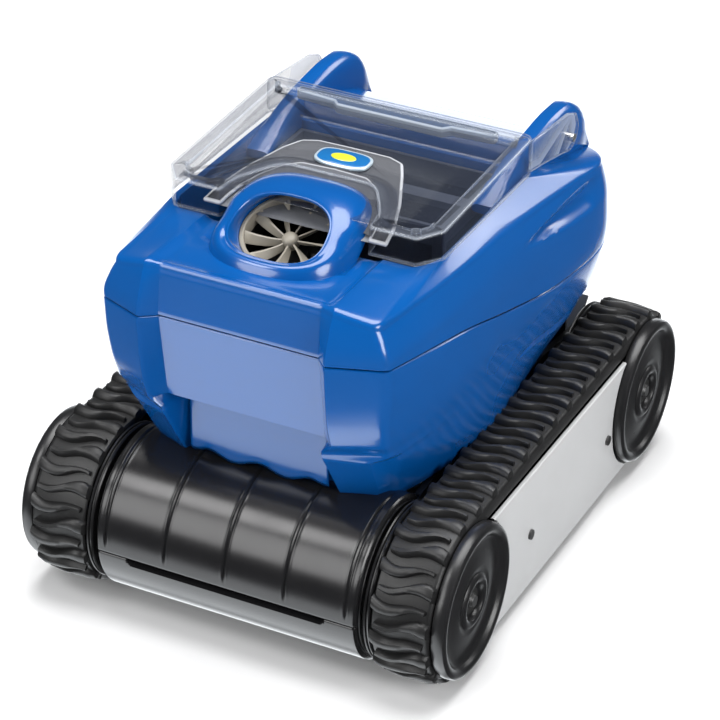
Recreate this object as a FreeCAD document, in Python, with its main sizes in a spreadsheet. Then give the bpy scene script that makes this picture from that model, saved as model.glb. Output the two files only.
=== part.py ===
"""Tracked pool cleaning robot: parametric FreeCAD model.

Frame: millimetres, +Z up, the ground at Z = 0 and the origin under the middle of the robot.
The robot drives along Y, its nose barrel at the -Y end, and the two sides mirror in the plane X = 0.
The driving dimensions are the cells of the sheet, and everything else is worked out from them.
"""

import FreeCAD, Part
import math
import os
import Sketcher

DOC = FreeCAD.newDocument("pool_cleaner")
V = FreeCAD.Vector
SHEET = DOC.addObject("Spreadsheet::Sheet", "sizes")
UP = V(0, 0, 1)
ALONG_X = V(1, 0, 0)
SIDES = (("left", -1), ("right", 1))
ENDS = (("near", -1), ("far", 1))

CELLS = {
    # running gear
    "wheel_base": 300.0,        # near axle to far axle
    "axle_height": 60.0,
    "tread_radius": 60.0,       # over the grouser bars
    "belt_inner": 50.0,         # inside radius of the belt on a wheel
    "belt_skin": 4.5,
    "belt_start": 105.5,        # |x| of the belt's inner edge
    "belt_wide": 39.5,
    "bar_count": 48.0,          # grouser bars round one belt
    "bar_wide": 9.0,
    "drum_radius": 49.4,
    "drum_wall": 4.0,
    "ring_radius": 54.0,        # guide ring on the wheel's inner side
    "ring_start": 99.0,
    "ring_wide": 5.5,
    "disc_start": 146.0,        # |x| where the outer disc starts
    "disc_wide": 10.0,
    "disc_radius": 53.0,
    "shaft_radius": 6.0,
    "shaft_start": 82.4,        # |x| where a drive shaft leaves its motor
    "hub_radius": 13.0,
    "run_fit": 0.05,            # radial clearance of a shaft that turns
    # chassis
    "tub_half": 91.5,
    "tub_front": -96.0,
    "tub_long": 184.0,
    "tub_floor": 20.0,
    "deck_height": 105.5,
    "wall": 3.0,
    "plate_low": 14.0,          # underside of the base plate
    "plate_thick": 5.0,
    "mouth_wide": 120.0,        # suction mouth
    "mouth_long": 36.0,
    "plate_mouth_x": 59.0,      # half sizes of its opening in the base plate
    "plate_mouth_y": 17.0,
    "frame_start": 92.0,
    "frame_thick": 4.5,
    "nose_radius": 56.0,
    "nose_half": 96.0,
    "seam_angle": 187.0,        # nose part line, degrees from +Y round through +Z
    "slot_half": 72.0,
    "slot_high": 4.0,
    "panel_start": 146.0,
    "panel_thick": 3.2,
    "panel_low": 9.0,
    "panel_high": 101.0,
    "panel_screw_y": 68.0,      # half the distance between a guard's two screws
    "panel_screw_shift": 18.0,  # and how far their middle is behind the guard's
    # hood
    "hood_top": 268.0,
    "skin": 3.0,
    "seam_front": 235.0,        # height of the hood's part line at its front
    "seam_low": 177.0,          # and at its lowest, over the far wheels
    "recess_half": 60.0,
    "well_half": 90.0,          # top opening over the filter
    "well_front": -116.0,
    "well_rear": 46.0,
    # outlet and pump, both on one tilted axis
    "pump_tilt": 23.0,
    "hub_y": -118.0,
    "hub_z": 270.0,
    "outlet_radius": 31.0,
    "duct_wall": 2.5,
    "duct_long": 44.0,
    "bezel_radius": 37.0,
    "pod_radius": 23.0,
    "pod_long": 58.0,
    "blade_count": 4.0,
    "rib_count": 9.0,
    # lid
    "lid_half": 99.0,
    "lid_front": -114.0,
    "lid_rear": 44.5,
    "lid_seat": 269.0,
    "lid_front_top": 290.0,
    "lid_rear_top": 297.0,
    "lid_skin": 2.5,
    "pivot_y": 108.0,
    "pivot_z": 268.0,
    "pin_radius": 3.0,
    # filter canister
    "can_half": 74.0,
    "can_front": -46.0,
    "can_long": 88.0,
    "can_floor": 116.0,
    "can_top": 262.0,
    "post": 7.0,
    "mesh": 1.2,
    # brush
    "brush_core": 22.0,
    "brush_radius": 58.0,
    "brush_half": 88.0,
    "vane_count": 8.0,
}
for row, (alias, value) in enumerate(CELLS.items(), start=1):
    SHEET.set("A%d" % row, alias)
    SHEET.set("B%d" % row, repr(value))
    SHEET.setAlias("B%d" % row, alias)
DOC.recompute()


def size(alias):
    """The number in one cell of the sheet."""
    return float(getattr(SHEET, alias))


def bind(thing, **rules):
    """Tie properties to formulas over the sheet: a double underscore in a name stands for a dot."""
    for name, rule in rules.items():
        words = ["sizes." + w if w in CELLS else w for w in rule.replace("(", "( ").replace(")", " )").split()]
        thing.setExpression(name.replace("__", "."), " ".join(words))
    return thing


# ---------------------------------------------------------------- Part primitives tied to the sheet
def box(name, x, y, z, dx, dy, dz):
    """A block from its low corner and its sizes, all formulas."""
    thing = DOC.addObject("Part::Box", name)
    return bind(thing, Length=dx, Width=dy, Height=dz,
                Placement__Base__x=x, Placement__Base__y=y, Placement__Base__z=z)


def rod(name, radius, length, x, y, z, axis="x"):
    """A round bar along one axis, from the place of its low end."""
    thing = DOC.addObject("Part::Cylinder", name)
    turn = {"x": (V(0, 1, 0), 90), "y": (V(1, 0, 0), -90), "z": (UP, 0)}[axis]
    thing.Placement = FreeCAD.Placement(V(0, 0, 0), FreeCAD.Rotation(*turn))
    return bind(thing, Radius=radius, Height=length,
                Placement__Base__x=x, Placement__Base__y=y, Placement__Base__z=z)


def cut(name, base, tool):
    thing = DOC.addObject("Part::Cut", name)
    thing.Base = base
    thing.Tool = tool
    return thing


# ---------------------------------------------------------------- PartDesign bodies
def new_body(name):
    body = DOC.addObject("PartDesign::Body", name)
    body.Label = name
    return body


def sketch_on(body, name, role="XY_Plane", lift="0"):
    """A sketch on one of the body's own origin planes, lifted by a formula."""
    plane = [f for f in body.Origin.OriginFeatures if f.Role == role][0]
    sketch = body.newObject("Sketcher::SketchObject", name)
    sketch.AttachmentSupport = (plane, "")
    sketch.MapMode = "FlatFace"
    return bind(sketch, AttachmentOffset__Base__z=lift)


def tie(sketch, kind, geometry, point, rule):
    """A dimension from the sketch's origin to a point, or a radius, that follows a formula."""
    if kind == "Radius":
        number = sketch.addConstraint(Sketcher.Constraint(kind, geometry, 1.0))
    else:
        number = sketch.addConstraint(Sketcher.Constraint(kind, -1, 1, geometry, point, 1.0))
    bind(sketch, **{"Constraints[%d]" % number: rule})


def circle(sketch, radius, x="0", y="0"):
    """A circle of a bound radius at a bound centre."""
    number = sketch.addGeometry(Part.Circle(V(1, 1, 0), UP, 5.0))
    tie(sketch, "Radius", number, 0, radius)
    for kind, rule in (("DistanceX", x), ("DistanceY", y)):
        if rule != "0":
            tie(sketch, kind, number, 3, rule)
    if x == "0":
        sketch.addConstraint(Sketcher.Constraint("PointOnObject", number, 3, -2))
    if y == "0":
        sketch.addConstraint(Sketcher.Constraint("PointOnObject", number, 3, -1))


def outline(sketch, corners):
    """A closed outline of straight sides through corners that are pairs of formulas."""
    starts = [[sheet_value(rule) for rule in corner] for corner in corners]
    count = len(corners)
    for i in range(count):
        here = V(starts[i][0], starts[i][1], 0)
        there = V(starts[(i + 1) % count][0], starts[(i + 1) % count][1], 0)
        sketch.addGeometry(Part.LineSegment(here, there))
    for i in range(count):
        sketch.addConstraint(Sketcher.Constraint("Coincident", i, 2, (i + 1) % count, 1))
    for i, (x, y) in enumerate(corners):
        tie(sketch, "DistanceX", i, 1, x)
        tie(sketch, "DistanceY", i, 1, y)


def sheet_value(rule):
    """Work a formula out once with the sheet's numbers, for a sketch's first guess."""
    total = 0.0
    sign = 1.0
    for word in rule.split():
        if word in "+-":
            sign = 1.0 if word == "+" else -1.0
        else:
            total += sign * (size(word) if word in CELLS else float(word))
    return total


def pad(body, sketch, length, middle=False):
    feature = body.newObject("PartDesign::Pad", body.Name + "_pad")
    feature.Profile = sketch
    bind(feature, Length=length)
    feature.Midplane = middle
    sketch.Visibility = False
    return feature


def through_pocket(body, sketch):
    feature = body.newObject("PartDesign::Pocket", body.Name + "_pocket")
    feature.Profile = sketch
    feature.Type = "ThroughAll"
    feature.Midplane = True
    return feature


def revolve(body, sketch):
    feature = body.newObject("PartDesign::Revolution", body.Name + "_turned")
    feature.Profile = sketch
    feature.ReferenceAxis = (sketch, ["H_Axis"])
    feature.Angle = 360.0
    return feature


def polar(body, feature, axis_role, count):
    """Repeat a feature round one of the body's origin axes."""
    axis = [f for f in body.Origin.OriginFeatures if f.Role == axis_role][0]
    pattern = body.newObject("PartDesign::PolarPattern", body.Name + "_ring")
    pattern.Originals = [feature]
    pattern.Axis = (axis, [""])
    pattern.Angle = 360.0
    bind(pattern, Occurrences=count)
    body.Tip = pattern
    return pattern


# ---------------------------------------------------------------- shapes set in code, sizes read from the sheet
def shaped(name, shape):
    thing = DOC.addObject("Part::Feature", name)
    thing.Shape = shape
    thing.Label = name
    return thing


def profile_x(points, x_low, x_high):
    """A closed outline of (y, z) points, extruded from one x to another."""
    wire = Part.makePolygon([V(x_low, y, z) for y, z in points + points[:1]])
    return Part.Face(wire).extrude(V(x_high - x_low, 0, 0))


def profile_z(points, z_low, z_high):
    """A closed outline of (x, y) points, extruded from one height to another."""
    wire = Part.makePolygon([V(x, y, z_low) for x, y in points + points[:1]])
    return Part.Face(wire).extrude(V(0, 0, z_high - z_low))


def mirror_x(shape):
    return shape.mirror(V(0, 0, 0), ALONG_X)


def tube_x(outer, inner, x_low, x_high, y, z):
    """A tube along X."""
    length = x_high - x_low
    solid = Part.makeCylinder(outer, length, V(x_low, y, z), ALONG_X)
    return solid.cut(Part.makeCylinder(inner, length, V(x_low, y, z), ALONG_X))


NODES = []


def node(thing, name):
    thing.Label = name
    NODES.append((name, thing))
    return thing


AXLE_Y = size("wheel_base") / 2
AXLE_Z = size("axle_height")


# ---------------------------------------------------------------- wheels, discs and shafts
def wheel(name, side, end):
    """Drum, web, hub and inner guide ring, turned in one piece about the axle."""
    body = new_body(name)
    sketch = sketch_on(body, name + "_section")
    outline(sketch, [
        ("ring_start", "shaft_radius + run_fit"),
        ("ring_start", "ring_radius"),
        ("ring_start + ring_wide", "ring_radius"),
        ("ring_start + ring_wide", "drum_radius"),
        ("disc_start - 1", "drum_radius"),
        ("disc_start - 1", "drum_radius - drum_wall"),
        ("ring_start + ring_wide", "drum_radius - drum_wall"),
        ("ring_start + ring_wide", "hub_radius"),
        ("disc_start - 6", "hub_radius"),
        ("disc_start - 6", "shaft_radius + run_fit"),
    ])
    revolve(body, sketch)
    hole = sketch_on(body, name + "_hole", "YZ_Plane")
    circle(hole, "8", "0", "29")
    pocket = through_pocket(body, hole)
    polar(body, pocket, "X_Axis", "6")
    place_on_axle(body, side, end)
    return node(body, name)


def place_on_axle(body, side, end):
    """Put a piece made about the X axis on its axle, turned half round Z for the left side."""
    body.Placement = FreeCAD.Placement(V(0, 0, 0), FreeCAD.Rotation(UP, 0 if side > 0 else 180))
    bind(body, Placement__Base__y="wheel_base / %d" % (2 * end), Placement__Base__z="axle_height")


def wheel_disc(name, side, end):
    """Dished outer disc with a raised rim and a sunk hub."""
    body = new_body(name)
    sketch = sketch_on(body, name + "_section")
    outline(sketch, [
        ("disc_start", "shaft_radius + run_fit"),
        ("disc_start", "disc_radius - 4"),
        ("disc_start + 3", "disc_radius"),
        ("disc_start + disc_wide - 2", "disc_radius"),
        ("disc_start + disc_wide", "disc_radius - 3"),
        ("disc_start + disc_wide", "disc_radius - 9"),
        ("disc_start + 5", "disc_radius - 12"),
        ("disc_start + disc_wide - 3", "hub_radius + 5"),
        ("disc_start + disc_wide - 3", "hub_radius + 1"),
        ("disc_start + 4", "hub_radius - 1"),
        ("disc_start + 4", "shaft_radius + run_fit"),
    ])
    revolve(body, sketch)
    place_on_axle(body, side, end)
    return node(body, name)


for end_name, end in ENDS:
    for side_name, side in SIDES:
        wheel("wheel_%s_%s" % (end_name, side_name), side, end)
        wheel_disc("wheel_disc_%s_%s" % (end_name, side_name), side, end)

for side_name, side in SIDES:
    start = "shaft_start" if side > 0 else "- disc_start - 2"
    node(rod("drive_shaft_" + side_name, "shaft_radius", "disc_start + 2 - shaft_start", start,
             "- wheel_base / 2", "axle_height"), "drive_shaft_" + side_name)
node(rod("far_axle", "shaft_radius", "disc_start * 2 + 4", "- disc_start - 2", "wheel_base / 2", "axle_height"),
     "far_axle")


def hub_screw(side, end):
    """Domed screw and washer that hold a wheel on its shaft, in the disc's sunk hub."""
    x = size("disc_start") + 2.0
    centre = (end * AXLE_Y, AXLE_Z)
    shank = Part.makeCylinder(4.0, 2.5, V(x, *centre), ALONG_X)
    washer = Part.makeCylinder(9.0, 1.0, V(x + 2.3, *centre), ALONG_X)
    head = Part.makeCone(5.5, 4.0, 2.5, V(x + 3.2, *centre), ALONG_X)
    screw = shank.fuse([washer, head]).removeSplitter()
    return screw if side > 0 else mirror_x(screw)


for side_name, side in SIDES:
    node(shaped("hub_screw_near_" + side_name, hub_screw(side, -1)), "hub_screw_near_" + side_name)
node(shaped("hub_screws_far", Part.makeCompound([hub_screw(side, 1) for _, side in SIDES])), "hub_screws_far")


# ---------------------------------------------------------------- belts
def stadium(radius, x_low, wide):
    """A slot-shaped block round both axles."""
    low = AXLE_Z - radius
    block = Part.makeBox(wide, 2 * AXLE_Y, 2 * radius, V(x_low, -AXLE_Y, low))
    for end in (-1, 1):
        block = block.fuse(Part.makeCylinder(radius, wide, V(x_low, end * AXLE_Y, AXLE_Z), ALONG_X))
    return block.removeSplitter()


def belt(side):
    """Endless belt with square grouser bars, even all the way round."""
    wide = size("belt_wide")
    x_low = size("belt_start") if side > 0 else -size("belt_start") - wide
    inner = size("belt_inner")
    skin = inner + size("belt_skin")
    loop = stadium(skin, x_low, wide).cut(stadium(inner, x_low, wide))
    tall = size("tread_radius") - inner - 1.0
    count = int(size("bar_count"))
    around = 4 * AXLE_Y + 2 * math.pi * size("tread_radius")
    bars = []
    for i in range(count):
        y, z, turn = along_belt((i + 0.5) * around / count, size("tread_radius") - tall / 2)
        bar = Part.makeBox(wide, size("bar_wide"), tall, V(x_low, -size("bar_wide") / 2, -tall / 2))
        bar.rotate(V(0, 0, 0), ALONG_X, turn)
        bar.translate(V(0, y, z))
        bars.append(bar)
    return loop.fuse(bars).removeSplitter()


def along_belt(distance, radius):
    """Place and turn of a bar: along the ground, round the far wheel, back on top, round the near wheel."""
    straight = 2 * AXLE_Y
    bend = math.pi * size("tread_radius")
    if distance < straight:
        return -AXLE_Y + distance, AXLE_Z - radius, 0.0
    distance -= straight
    if distance < bend:
        angle = distance / bend * math.pi
        return AXLE_Y + radius * math.sin(angle), AXLE_Z - radius * math.cos(angle), math.degrees(angle)
    distance -= bend
    if distance < straight:
        return AXLE_Y - distance, AXLE_Z + radius, 0.0
    angle = (distance - straight) / bend * math.pi
    return -AXLE_Y - radius * math.sin(angle), AXLE_Z + radius * math.cos(angle), math.degrees(angle)


for side_name, side in SIDES:
    node(shaped("belt_" + side_name, belt(side)), "belt_" + side_name)


# ---------------------------------------------------------------- nose barrel
def nose_shell(grow=0.0):
    half = size("nose_half") + grow
    radius = size("nose_radius")
    return tube_x(radius + grow, radius - size("wall") - grow, -half, half, -AXLE_Y, AXLE_Z)


def sector_start():
    """The angle at which the kernel starts a part cylinder about X, found by its own corner."""
    probe = Part.makeCylinder(10, 1, V(0, 0, 0), ALONG_X, 1)
    corner = max(probe.Vertexes, key=lambda v: v.Point.Length).Point
    return math.degrees(math.atan2(corner.z, corner.y))


def nose_piece(start, stop, grow=0.0):
    """The part of the barrel's shell between two angles from +Y round through +Z."""
    wedge = Part.makeCylinder(90, 400, V(-200, -AXLE_Y, AXLE_Z), ALONG_X, stop - start)
    wedge.rotate(V(0, -AXLE_Y, AXLE_Z), ALONG_X, start - round(sector_start() / 90.0) * 90.0)
    return nose_shell(grow).common(wedge)


def nose_cover():
    """Upper shell of the barrel with a scoop behind the front feet and a short deck back to the tub."""
    seam = size("seam_angle")
    shell = nose_piece(38.0, seam)
    scoop = Part.makeBox(104, 22, 30, V(-52, -AXLE_Y - 4, AXLE_Z + size("nose_radius") - 9))
    half = size("nose_half")
    deck_low = size("deck_height") - 6
    deck = profile_x([(-AXLE_Y + 34, deck_low), (-AXLE_Y + 30, deck_low + 6), (size("tub_front") - 0.2, deck_low + 6),
                      (size("tub_front") - 0.2, deck_low)], -size("tub_half"), size("tub_half"))
    deck = deck.cut(Part.makeCylinder(size("nose_radius") - 2, 2 * half, V(-half, -AXLE_Y, AXLE_Z), ALONG_X))
    return shell.fuse(deck).cut(scoop)


def nose_lip():
    """Lower shell of the barrel, with the long slot left open under the part line."""
    seam = size("seam_angle")
    shell = nose_piece(seam, 300.0)
    angle = math.radians(seam)
    y = -AXLE_Y + size("nose_radius") * math.cos(angle)
    z = AXLE_Z + size("nose_radius") * math.sin(angle)
    slot_half = size("slot_half")
    slot = Part.makeBox(2 * slot_half, 14, size("slot_high") + 4, V(-slot_half, y - 7, z - size("slot_high")))
    return shell.cut(slot)


# ---------------------------------------------------------------- chassis
def chassis_tub():
    """Open box between the tracks, with the throat of the suction mouth through its floor."""
    outer = box("tub_outer", "- tub_half", "tub_front", "tub_floor",
                "tub_half * 2", "tub_long", "deck_height - tub_floor")
    inner = box("tub_inner", "- tub_half + wall", "tub_front + wall", "tub_floor + wall",
                "tub_half * 2 - wall * 2", "tub_long - wall * 2", "deck_height")
    hole = box("tub_throat", "- mouth_wide / 2 - wall", "- mouth_long / 2 - wall", "tub_floor - 1",
               "mouth_wide + wall * 2", "mouth_long + wall * 2", "20")
    return cut("chassis_tub", cut("tub_shell", outer, inner), hole)


node(chassis_tub(), "chassis_tub")

throat_outer = box("throat_outer", "- mouth_wide / 2 - wall + 0.1", "- mouth_long / 2 - wall + 0.1", "plate_low + plate_thick",
                   "mouth_wide + wall * 2 - 0.2", "mouth_long + wall * 2 - 0.2", "can_floor - plate_low - plate_thick - 4.2")
throat_inner = box("throat_inner", "- mouth_wide / 2 + 1", "- mouth_long / 2 + 1", "0",
                   "mouth_wide - 2", "mouth_long - 2", "can_floor + 10")
node(cut("intake_throat", throat_outer, throat_inner), "intake_throat")

plate = new_body("base_plate")
plate_face = sketch_on(plate, "base_plate_outline", "XY_Plane", "plate_low")
outline(plate_face, [("- tub_half", "tub_front"), ("tub_half", "tub_front"),
                     ("tub_half", "tub_front + tub_long"), ("- tub_half", "tub_front + tub_long")])
pad(plate, plate_face, "plate_thick")
mouth_face = sketch_on(plate, "base_plate_mouth", "XY_Plane", "plate_low")
outline(mouth_face, [("- plate_mouth_x", "- plate_mouth_y"), ("plate_mouth_x", "- plate_mouth_y"),
                     ("plate_mouth_x", "plate_mouth_y"), ("- plate_mouth_x", "plate_mouth_y")])
through_pocket(plate, mouth_face)
node(plate, "base_plate")


def base_screws():
    """Six screws up through the base plate."""
    low = size("plate_low") - 1.5
    return Part.makeCompound([Part.makeCylinder(4.0, 1.5, V(x, y, low)) for x in (-78, 78) for y in (-80, 0, 76)])


node(shaped("base_screws", base_screws()), "base_screws")


def side_frame(side):
    """Side plate from axle to axle, with a bore for each shaft."""
    near_radius = size("nose_radius") - 4
    far_radius = 38.0
    thick = size("frame_thick")
    x_low = size("frame_start")
    high = size("deck_height")
    middle = profile_x([(-AXLE_Y, AXLE_Z - 40), (AXLE_Y, AXLE_Z - far_radius), (AXLE_Y, AXLE_Z + far_radius),
                        (size("tub_front") + size("tub_long"), high), (size("tub_front"), high),
                        (-AXLE_Y, AXLE_Z + 40)], x_low, x_low + thick)
    plate_shape = middle.fuse([
        Part.makeCylinder(near_radius, thick, V(x_low, -AXLE_Y, AXLE_Z), ALONG_X),
        Part.makeCylinder(far_radius, thick, V(x_low, AXLE_Y, AXLE_Z), ALONG_X),
    ]).removeSplitter()
    bore = size("shaft_radius") + size("run_fit")
    sleeve = size("shaft_radius") + 4 + size("run_fit")
    far_bore = sleeve if side > 0 else bore
    plate_shape = plate_shape.cut(Part.makeCylinder(bore, 300, V(0, -AXLE_Y, AXLE_Z), ALONG_X))
    plate_shape = plate_shape.cut(Part.makeCylinder(far_bore, 300, V(0, AXLE_Y, AXLE_Z), ALONG_X))
    plate_shape = plate_shape.cut(nose_piece(30.0, 305.0, 0.1))
    return plate_shape if side > 0 else mirror_x(plate_shape)


def track_frame(side):
    """Hollow beam between the belt's two runs that carries the side panel."""
    x_low = size("frame_start") + size("frame_thick")
    x_high = size("panel_start")
    beam = Part.makeBox(x_high - x_low, 176, 62, V(x_low, -88, 28))
    beam = beam.cut(Part.makeBox(x_high - x_low - 6, 170, 56, V(x_low + 3, -85, 31)))
    return beam if side > 0 else mirror_x(beam)


def side_panel(side):
    """Flat outer panel whose ends follow the two wheel discs."""
    x_low = size("panel_start") + 0.2
    thick = size("panel_thick")
    low = size("panel_low")
    high = size("panel_high")
    reach = AXLE_Y - 12.0
    panel = profile_x([(-reach, high), (reach, high), (reach, low), (-reach, low)], x_low, x_low + thick)
    for end in (-1, 1):
        panel = panel.cut(Part.makeCylinder(size("disc_radius") + 1.5, 400, V(0, end * AXLE_Y, AXLE_Z), ALONG_X))
    return panel if side > 0 else mirror_x(panel)


def panel_screws():
    """Two screws in each side panel."""
    x = size("panel_start") + 0.2 + size("panel_thick")
    reach = size("panel_screw_y")
    shift = size("panel_screw_shift")
    return Part.makeCompound([Part.makeCylinder(3.6, 1.6, V(side * x, y, AXLE_Z - 8), V(side, 0, 0))
                              for _, side in SIDES for y in (shift - reach, shift + reach)])


for side_name, side in SIDES:
    node(shaped("side_frame_" + side_name, side_frame(side)), "side_frame_" + side_name)
    node(shaped("track_frame_" + side_name, track_frame(side)), "track_frame_" + side_name)
    node(shaped("side_panel_" + side_name, side_panel(side)), "side_panel_" + side_name)
node(shaped("panel_screws", panel_screws()), "panel_screws")


node(shaped("nose_cover", nose_cover()), "nose_cover")
node(shaped("nose_lip", nose_lip()), "nose_lip")

for side_name, side in SIDES:
    start = "14" if side > 0 else "- 82"
    node(rod("drive_motor_" + side_name, "30", "68", start, "- wheel_base / 2", "axle_height"),
         "drive_motor_" + side_name)


# ---------------------------------------------------------------- brush on the far axle
core = new_body("brush_core")
core_face = sketch_on(core, "brush_core_section", "YZ_Plane")
circle(core_face, "brush_core")
circle(core_face, "shaft_radius + run_fit")
pad(core, core_face, "brush_half * 2", middle=True)
sleeve_face = sketch_on(core, "brush_sleeve_section", "YZ_Plane", "brush_half")
circle(sleeve_face, "shaft_radius + 4")
circle(sleeve_face, "shaft_radius + run_fit")
sleeve = pad(core, sleeve_face, "ring_start - brush_half")
bind(core, Placement__Base__y="wheel_base / 2", Placement__Base__z="axle_height")
node(core, "brush_core")


def brush_vanes():
    """Rubber vanes round the core, one node of separate strips."""
    half = size("brush_half")
    count = int(size("vane_count"))
    low = size("brush_core") + 0.1
    vanes = []
    for i in range(count):
        vane = Part.makeBox(2 * half, 3.0, size("brush_radius") - low, V(-half, -1.5, low))
        vane.rotate(V(0, 0, 0), ALONG_X, 360.0 * i / count)
        vane.translate(V(0, AXLE_Y, AXLE_Z))
        vanes.append(vane)
    return Part.makeCompound(vanes)


node(shaped("brush_vanes", brush_vanes()), "brush_vanes")

# ---------------------------------------------------------------- hood
# height, front y, half width at the front, in the middle and at the rear, rear y
HOOD_LEVELS = (
    (106, -152, 86, 99, 91, 128),
    (140, -172, 93, 106.5, 111, 160),
    (190, -188, 98, 114, 120, 177),
    (232, -198, 100, 111, 116, 176),
    (256, -193, 97, 105, 107, 164),
    (268, -186, 92, 101, 100, 150),
)


GLAND_RADIUS = 9.0
GLAND_Z = 165.0
FRONT_CORNER = 26.0             # plan radius of the hood's front corners
REAR_CORNER = 44.0              # how far its rear corners run along the side


def arc(start, middle, stop):
    return Part.Arc(V(*start), V(*middle), V(*stop)).toShape()


def hood_ring(level, inset):
    """One closed horizontal outline of the hood: a straight front, bowed sides and a round rear."""
    height, front, half_front, half_middle, half_rear, rear = level
    front += inset
    rear -= inset
    half_front -= inset
    half_middle -= inset
    half_rear -= inset
    corner = FRONT_CORNER - inset
    bulge = corner * (1 - math.sqrt(0.5))
    turn = rear - REAR_CORNER
    tail = half_rear * 0.6
    edges = [Part.makeLine(V(corner - half_front, front, height), V(half_front - corner, front, height))]
    right = [
        ((half_front - corner, front), (half_front - bulge, front + bulge), (half_front, front + corner)),
        ((half_front, front + corner), (half_middle, -30), (half_rear, turn)),
        ((half_rear, turn), (half_rear * 0.93, rear - REAR_CORNER * 0.38), (tail, rear - 6)),
    ]
    edges += [arc(*[(x, y, height) for x, y in points]) for points in right]
    edges.append(arc((tail, rear - 6, height), (0, rear, height), (-tail, rear - 6, height)))
    edges += [arc(*[(-x, y, height) for x, y in points[::-1]]) for points in right[::-1]]
    return Part.Wire(edges)


def hood_volume(inset):
    """The hood's outer form, or the form of its inside when inset."""
    rings = [hood_ring(level, inset) for level in HOOD_LEVELS]
    return Part.makeLoft(rings, True, False)


def front_recess(grow):
    """The sunk middle of the front: a tall upper step and a narrower, deeper lower step."""
    half = size("recess_half") + grow
    low_half = half - 8
    upper = profile_x([(-260, 172 - grow), (-260, 262 + grow), (-187 + grow, 262 + grow), (-184 + grow, 234),
                       (-177 + grow, 172 - grow)], -half, half)
    lower = profile_x([(-260, 90), (-260, 180), (-158 + grow, 180), (-158 + grow, 168), (-142 + grow, 112),
                       (-142 + grow, 90)], -low_half, low_half)
    return upper.fuse(lower)


def crown():
    """What stands above the shoulder line at the rear: the cross bar and the two ear pods."""
    bar = profile_x([(48, 262), (52, 281), (126, 258), (146, 246), (146, 236), (48, 236)], -76, 76)
    ear_outline = [(2, 262), (8, 268), (40, 279), (84, 287), (107, 288), (130, 284), (146, 272), (156, 246), (150, 236),
                   (2, 236)]
    pods = [profile_x(ear_outline, low, high) for low, high in ((-94, -76), (76, 94))]
    return bar.fuse(pods)


def crown_hollow():
    """Room inside the cross bar and pods."""
    bar = profile_x([(51, 230), (54, 277), (125, 255), (142, 244), (142, 230)], -73, 73)
    ear_outline = [(50, 230), (50, 278), (84, 284), (107, 285), (128, 281), (142, 271), (152, 246), (147, 230)]
    pods = [profile_x(ear_outline, low, high) for low, high in ((-91, -79), (79, 91))]
    return bar.fuse(pods)


def rear_slope(drop):
    """Everything above the line on which the hood falls away behind the lid."""
    return profile_x([(50, 268 - drop), (150, 240 - drop), (230, 214 - drop), (230, 330), (50, 330)], -200, 200)


def pump_axis_point(distance):
    """A point on the tilted pump axis, measured down from the outlet's hub."""
    tilt = math.radians(size("pump_tilt"))
    return V(0, size("hub_y") + distance * math.sin(tilt), size("hub_z") - distance * math.cos(tilt))


PUMP_UP = V(0, -math.sin(math.radians(size("pump_tilt"))), math.cos(math.radians(size("pump_tilt"))))


def pump_tube(outer, inner, low, high):
    """A tube about the pump axis between two distances down from the hub."""
    start = pump_axis_point(high)
    tube = Part.makeCylinder(outer, high - low, start, PUMP_UP)
    if inner > 0:
        tube = tube.cut(Part.makeCylinder(inner, high - low, start, PUMP_UP))
    return tube


def hood_shell():
    """The whole hood before it is split on its part line."""
    skin = size("skin")
    outer = hood_volume(0.0).cut(rear_slope(0.0)).fuse(crown()).cut(front_recess(0.0))
    well = Part.makeBox(2 * size("well_half"), size("well_rear") - size("well_front"), 200,
                        V(-size("well_half"), size("well_front"), 200))
    hollow = hood_volume(skin).cut(rear_slope(skin)).fuse(crown_hollow()).cut(front_recess(skin))
    top_skin = Part.makeBox(400, 400, 20, V(-200, -200, size("hood_top") - skin))
    hollow = hollow.cut(top_skin.cut(crown_hollow()))
    shell = outer.cut(hollow).cut(well)
    shell = shell.cut(pump_tube(size("bezel_radius") + 0.3, 0.0, -60.0, 30.0))
    shell = shell.cut(Part.makeCylinder(size("nose_radius") + 0.4, 400, V(-200, -AXLE_Y, AXLE_Z), ALONG_X))
    shell = shell.cut(Part.makeCylinder(size("brush_radius") + 3, 400, V(-200, AXLE_Y, AXLE_Z), ALONG_X))
    return shell.cut(Part.makeCylinder(GLAND_RADIUS, 60, V(0, 140, GLAND_Z), V(0, 1, 0)))


def below_seam():
    """Everything under the part line, which runs down from the front and lifts again at the rear."""
    front = size("seam_front")
    low = size("seam_low")
    line = [(-220, front), (-199, front), (-90, front - 17), (-15, front - 37), (55, low + 6), (120, low), (190, low + 13)]
    return profile_x(line + [(190, 60), (-220, 60)], -200, 200)


shell = hood_shell()
node(shaped("hood_upper", shell.cut(below_seam())), "hood_upper")
node(shaped("hood_lower", shell.common(below_seam())), "hood_lower")


def front_panel():
    """Lower middle panel of the front, with a waved lower edge."""
    panel = profile_x([(-161, 166), (-158.4, 166), (-143.6, 114), (-146.6, 114)], -50.5, 50.5)
    for x in (-26, 26):
        panel = panel.cut(Part.makeCylinder(9, 30, V(x, -165, 110), V(0, 1, 0)))
    return panel


node(shaped("front_panel", front_panel()), "front_panel")

# ---------------------------------------------------------------- outlet and pump


def pump_part(name, solid):
    return node(shaped(name, solid), name)


FACE = -14.0                    # the outlet's face stands this far above the hub
pump_part("outlet_bezel", pump_tube(size("bezel_radius"), size("outlet_radius") + size("duct_wall") + 0.1, FACE, 26.0))
pump_part("outlet_duct", pump_tube(size("outlet_radius") + size("duct_wall"), size("outlet_radius"), -6.0,
                                   size("duct_long")))


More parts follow.
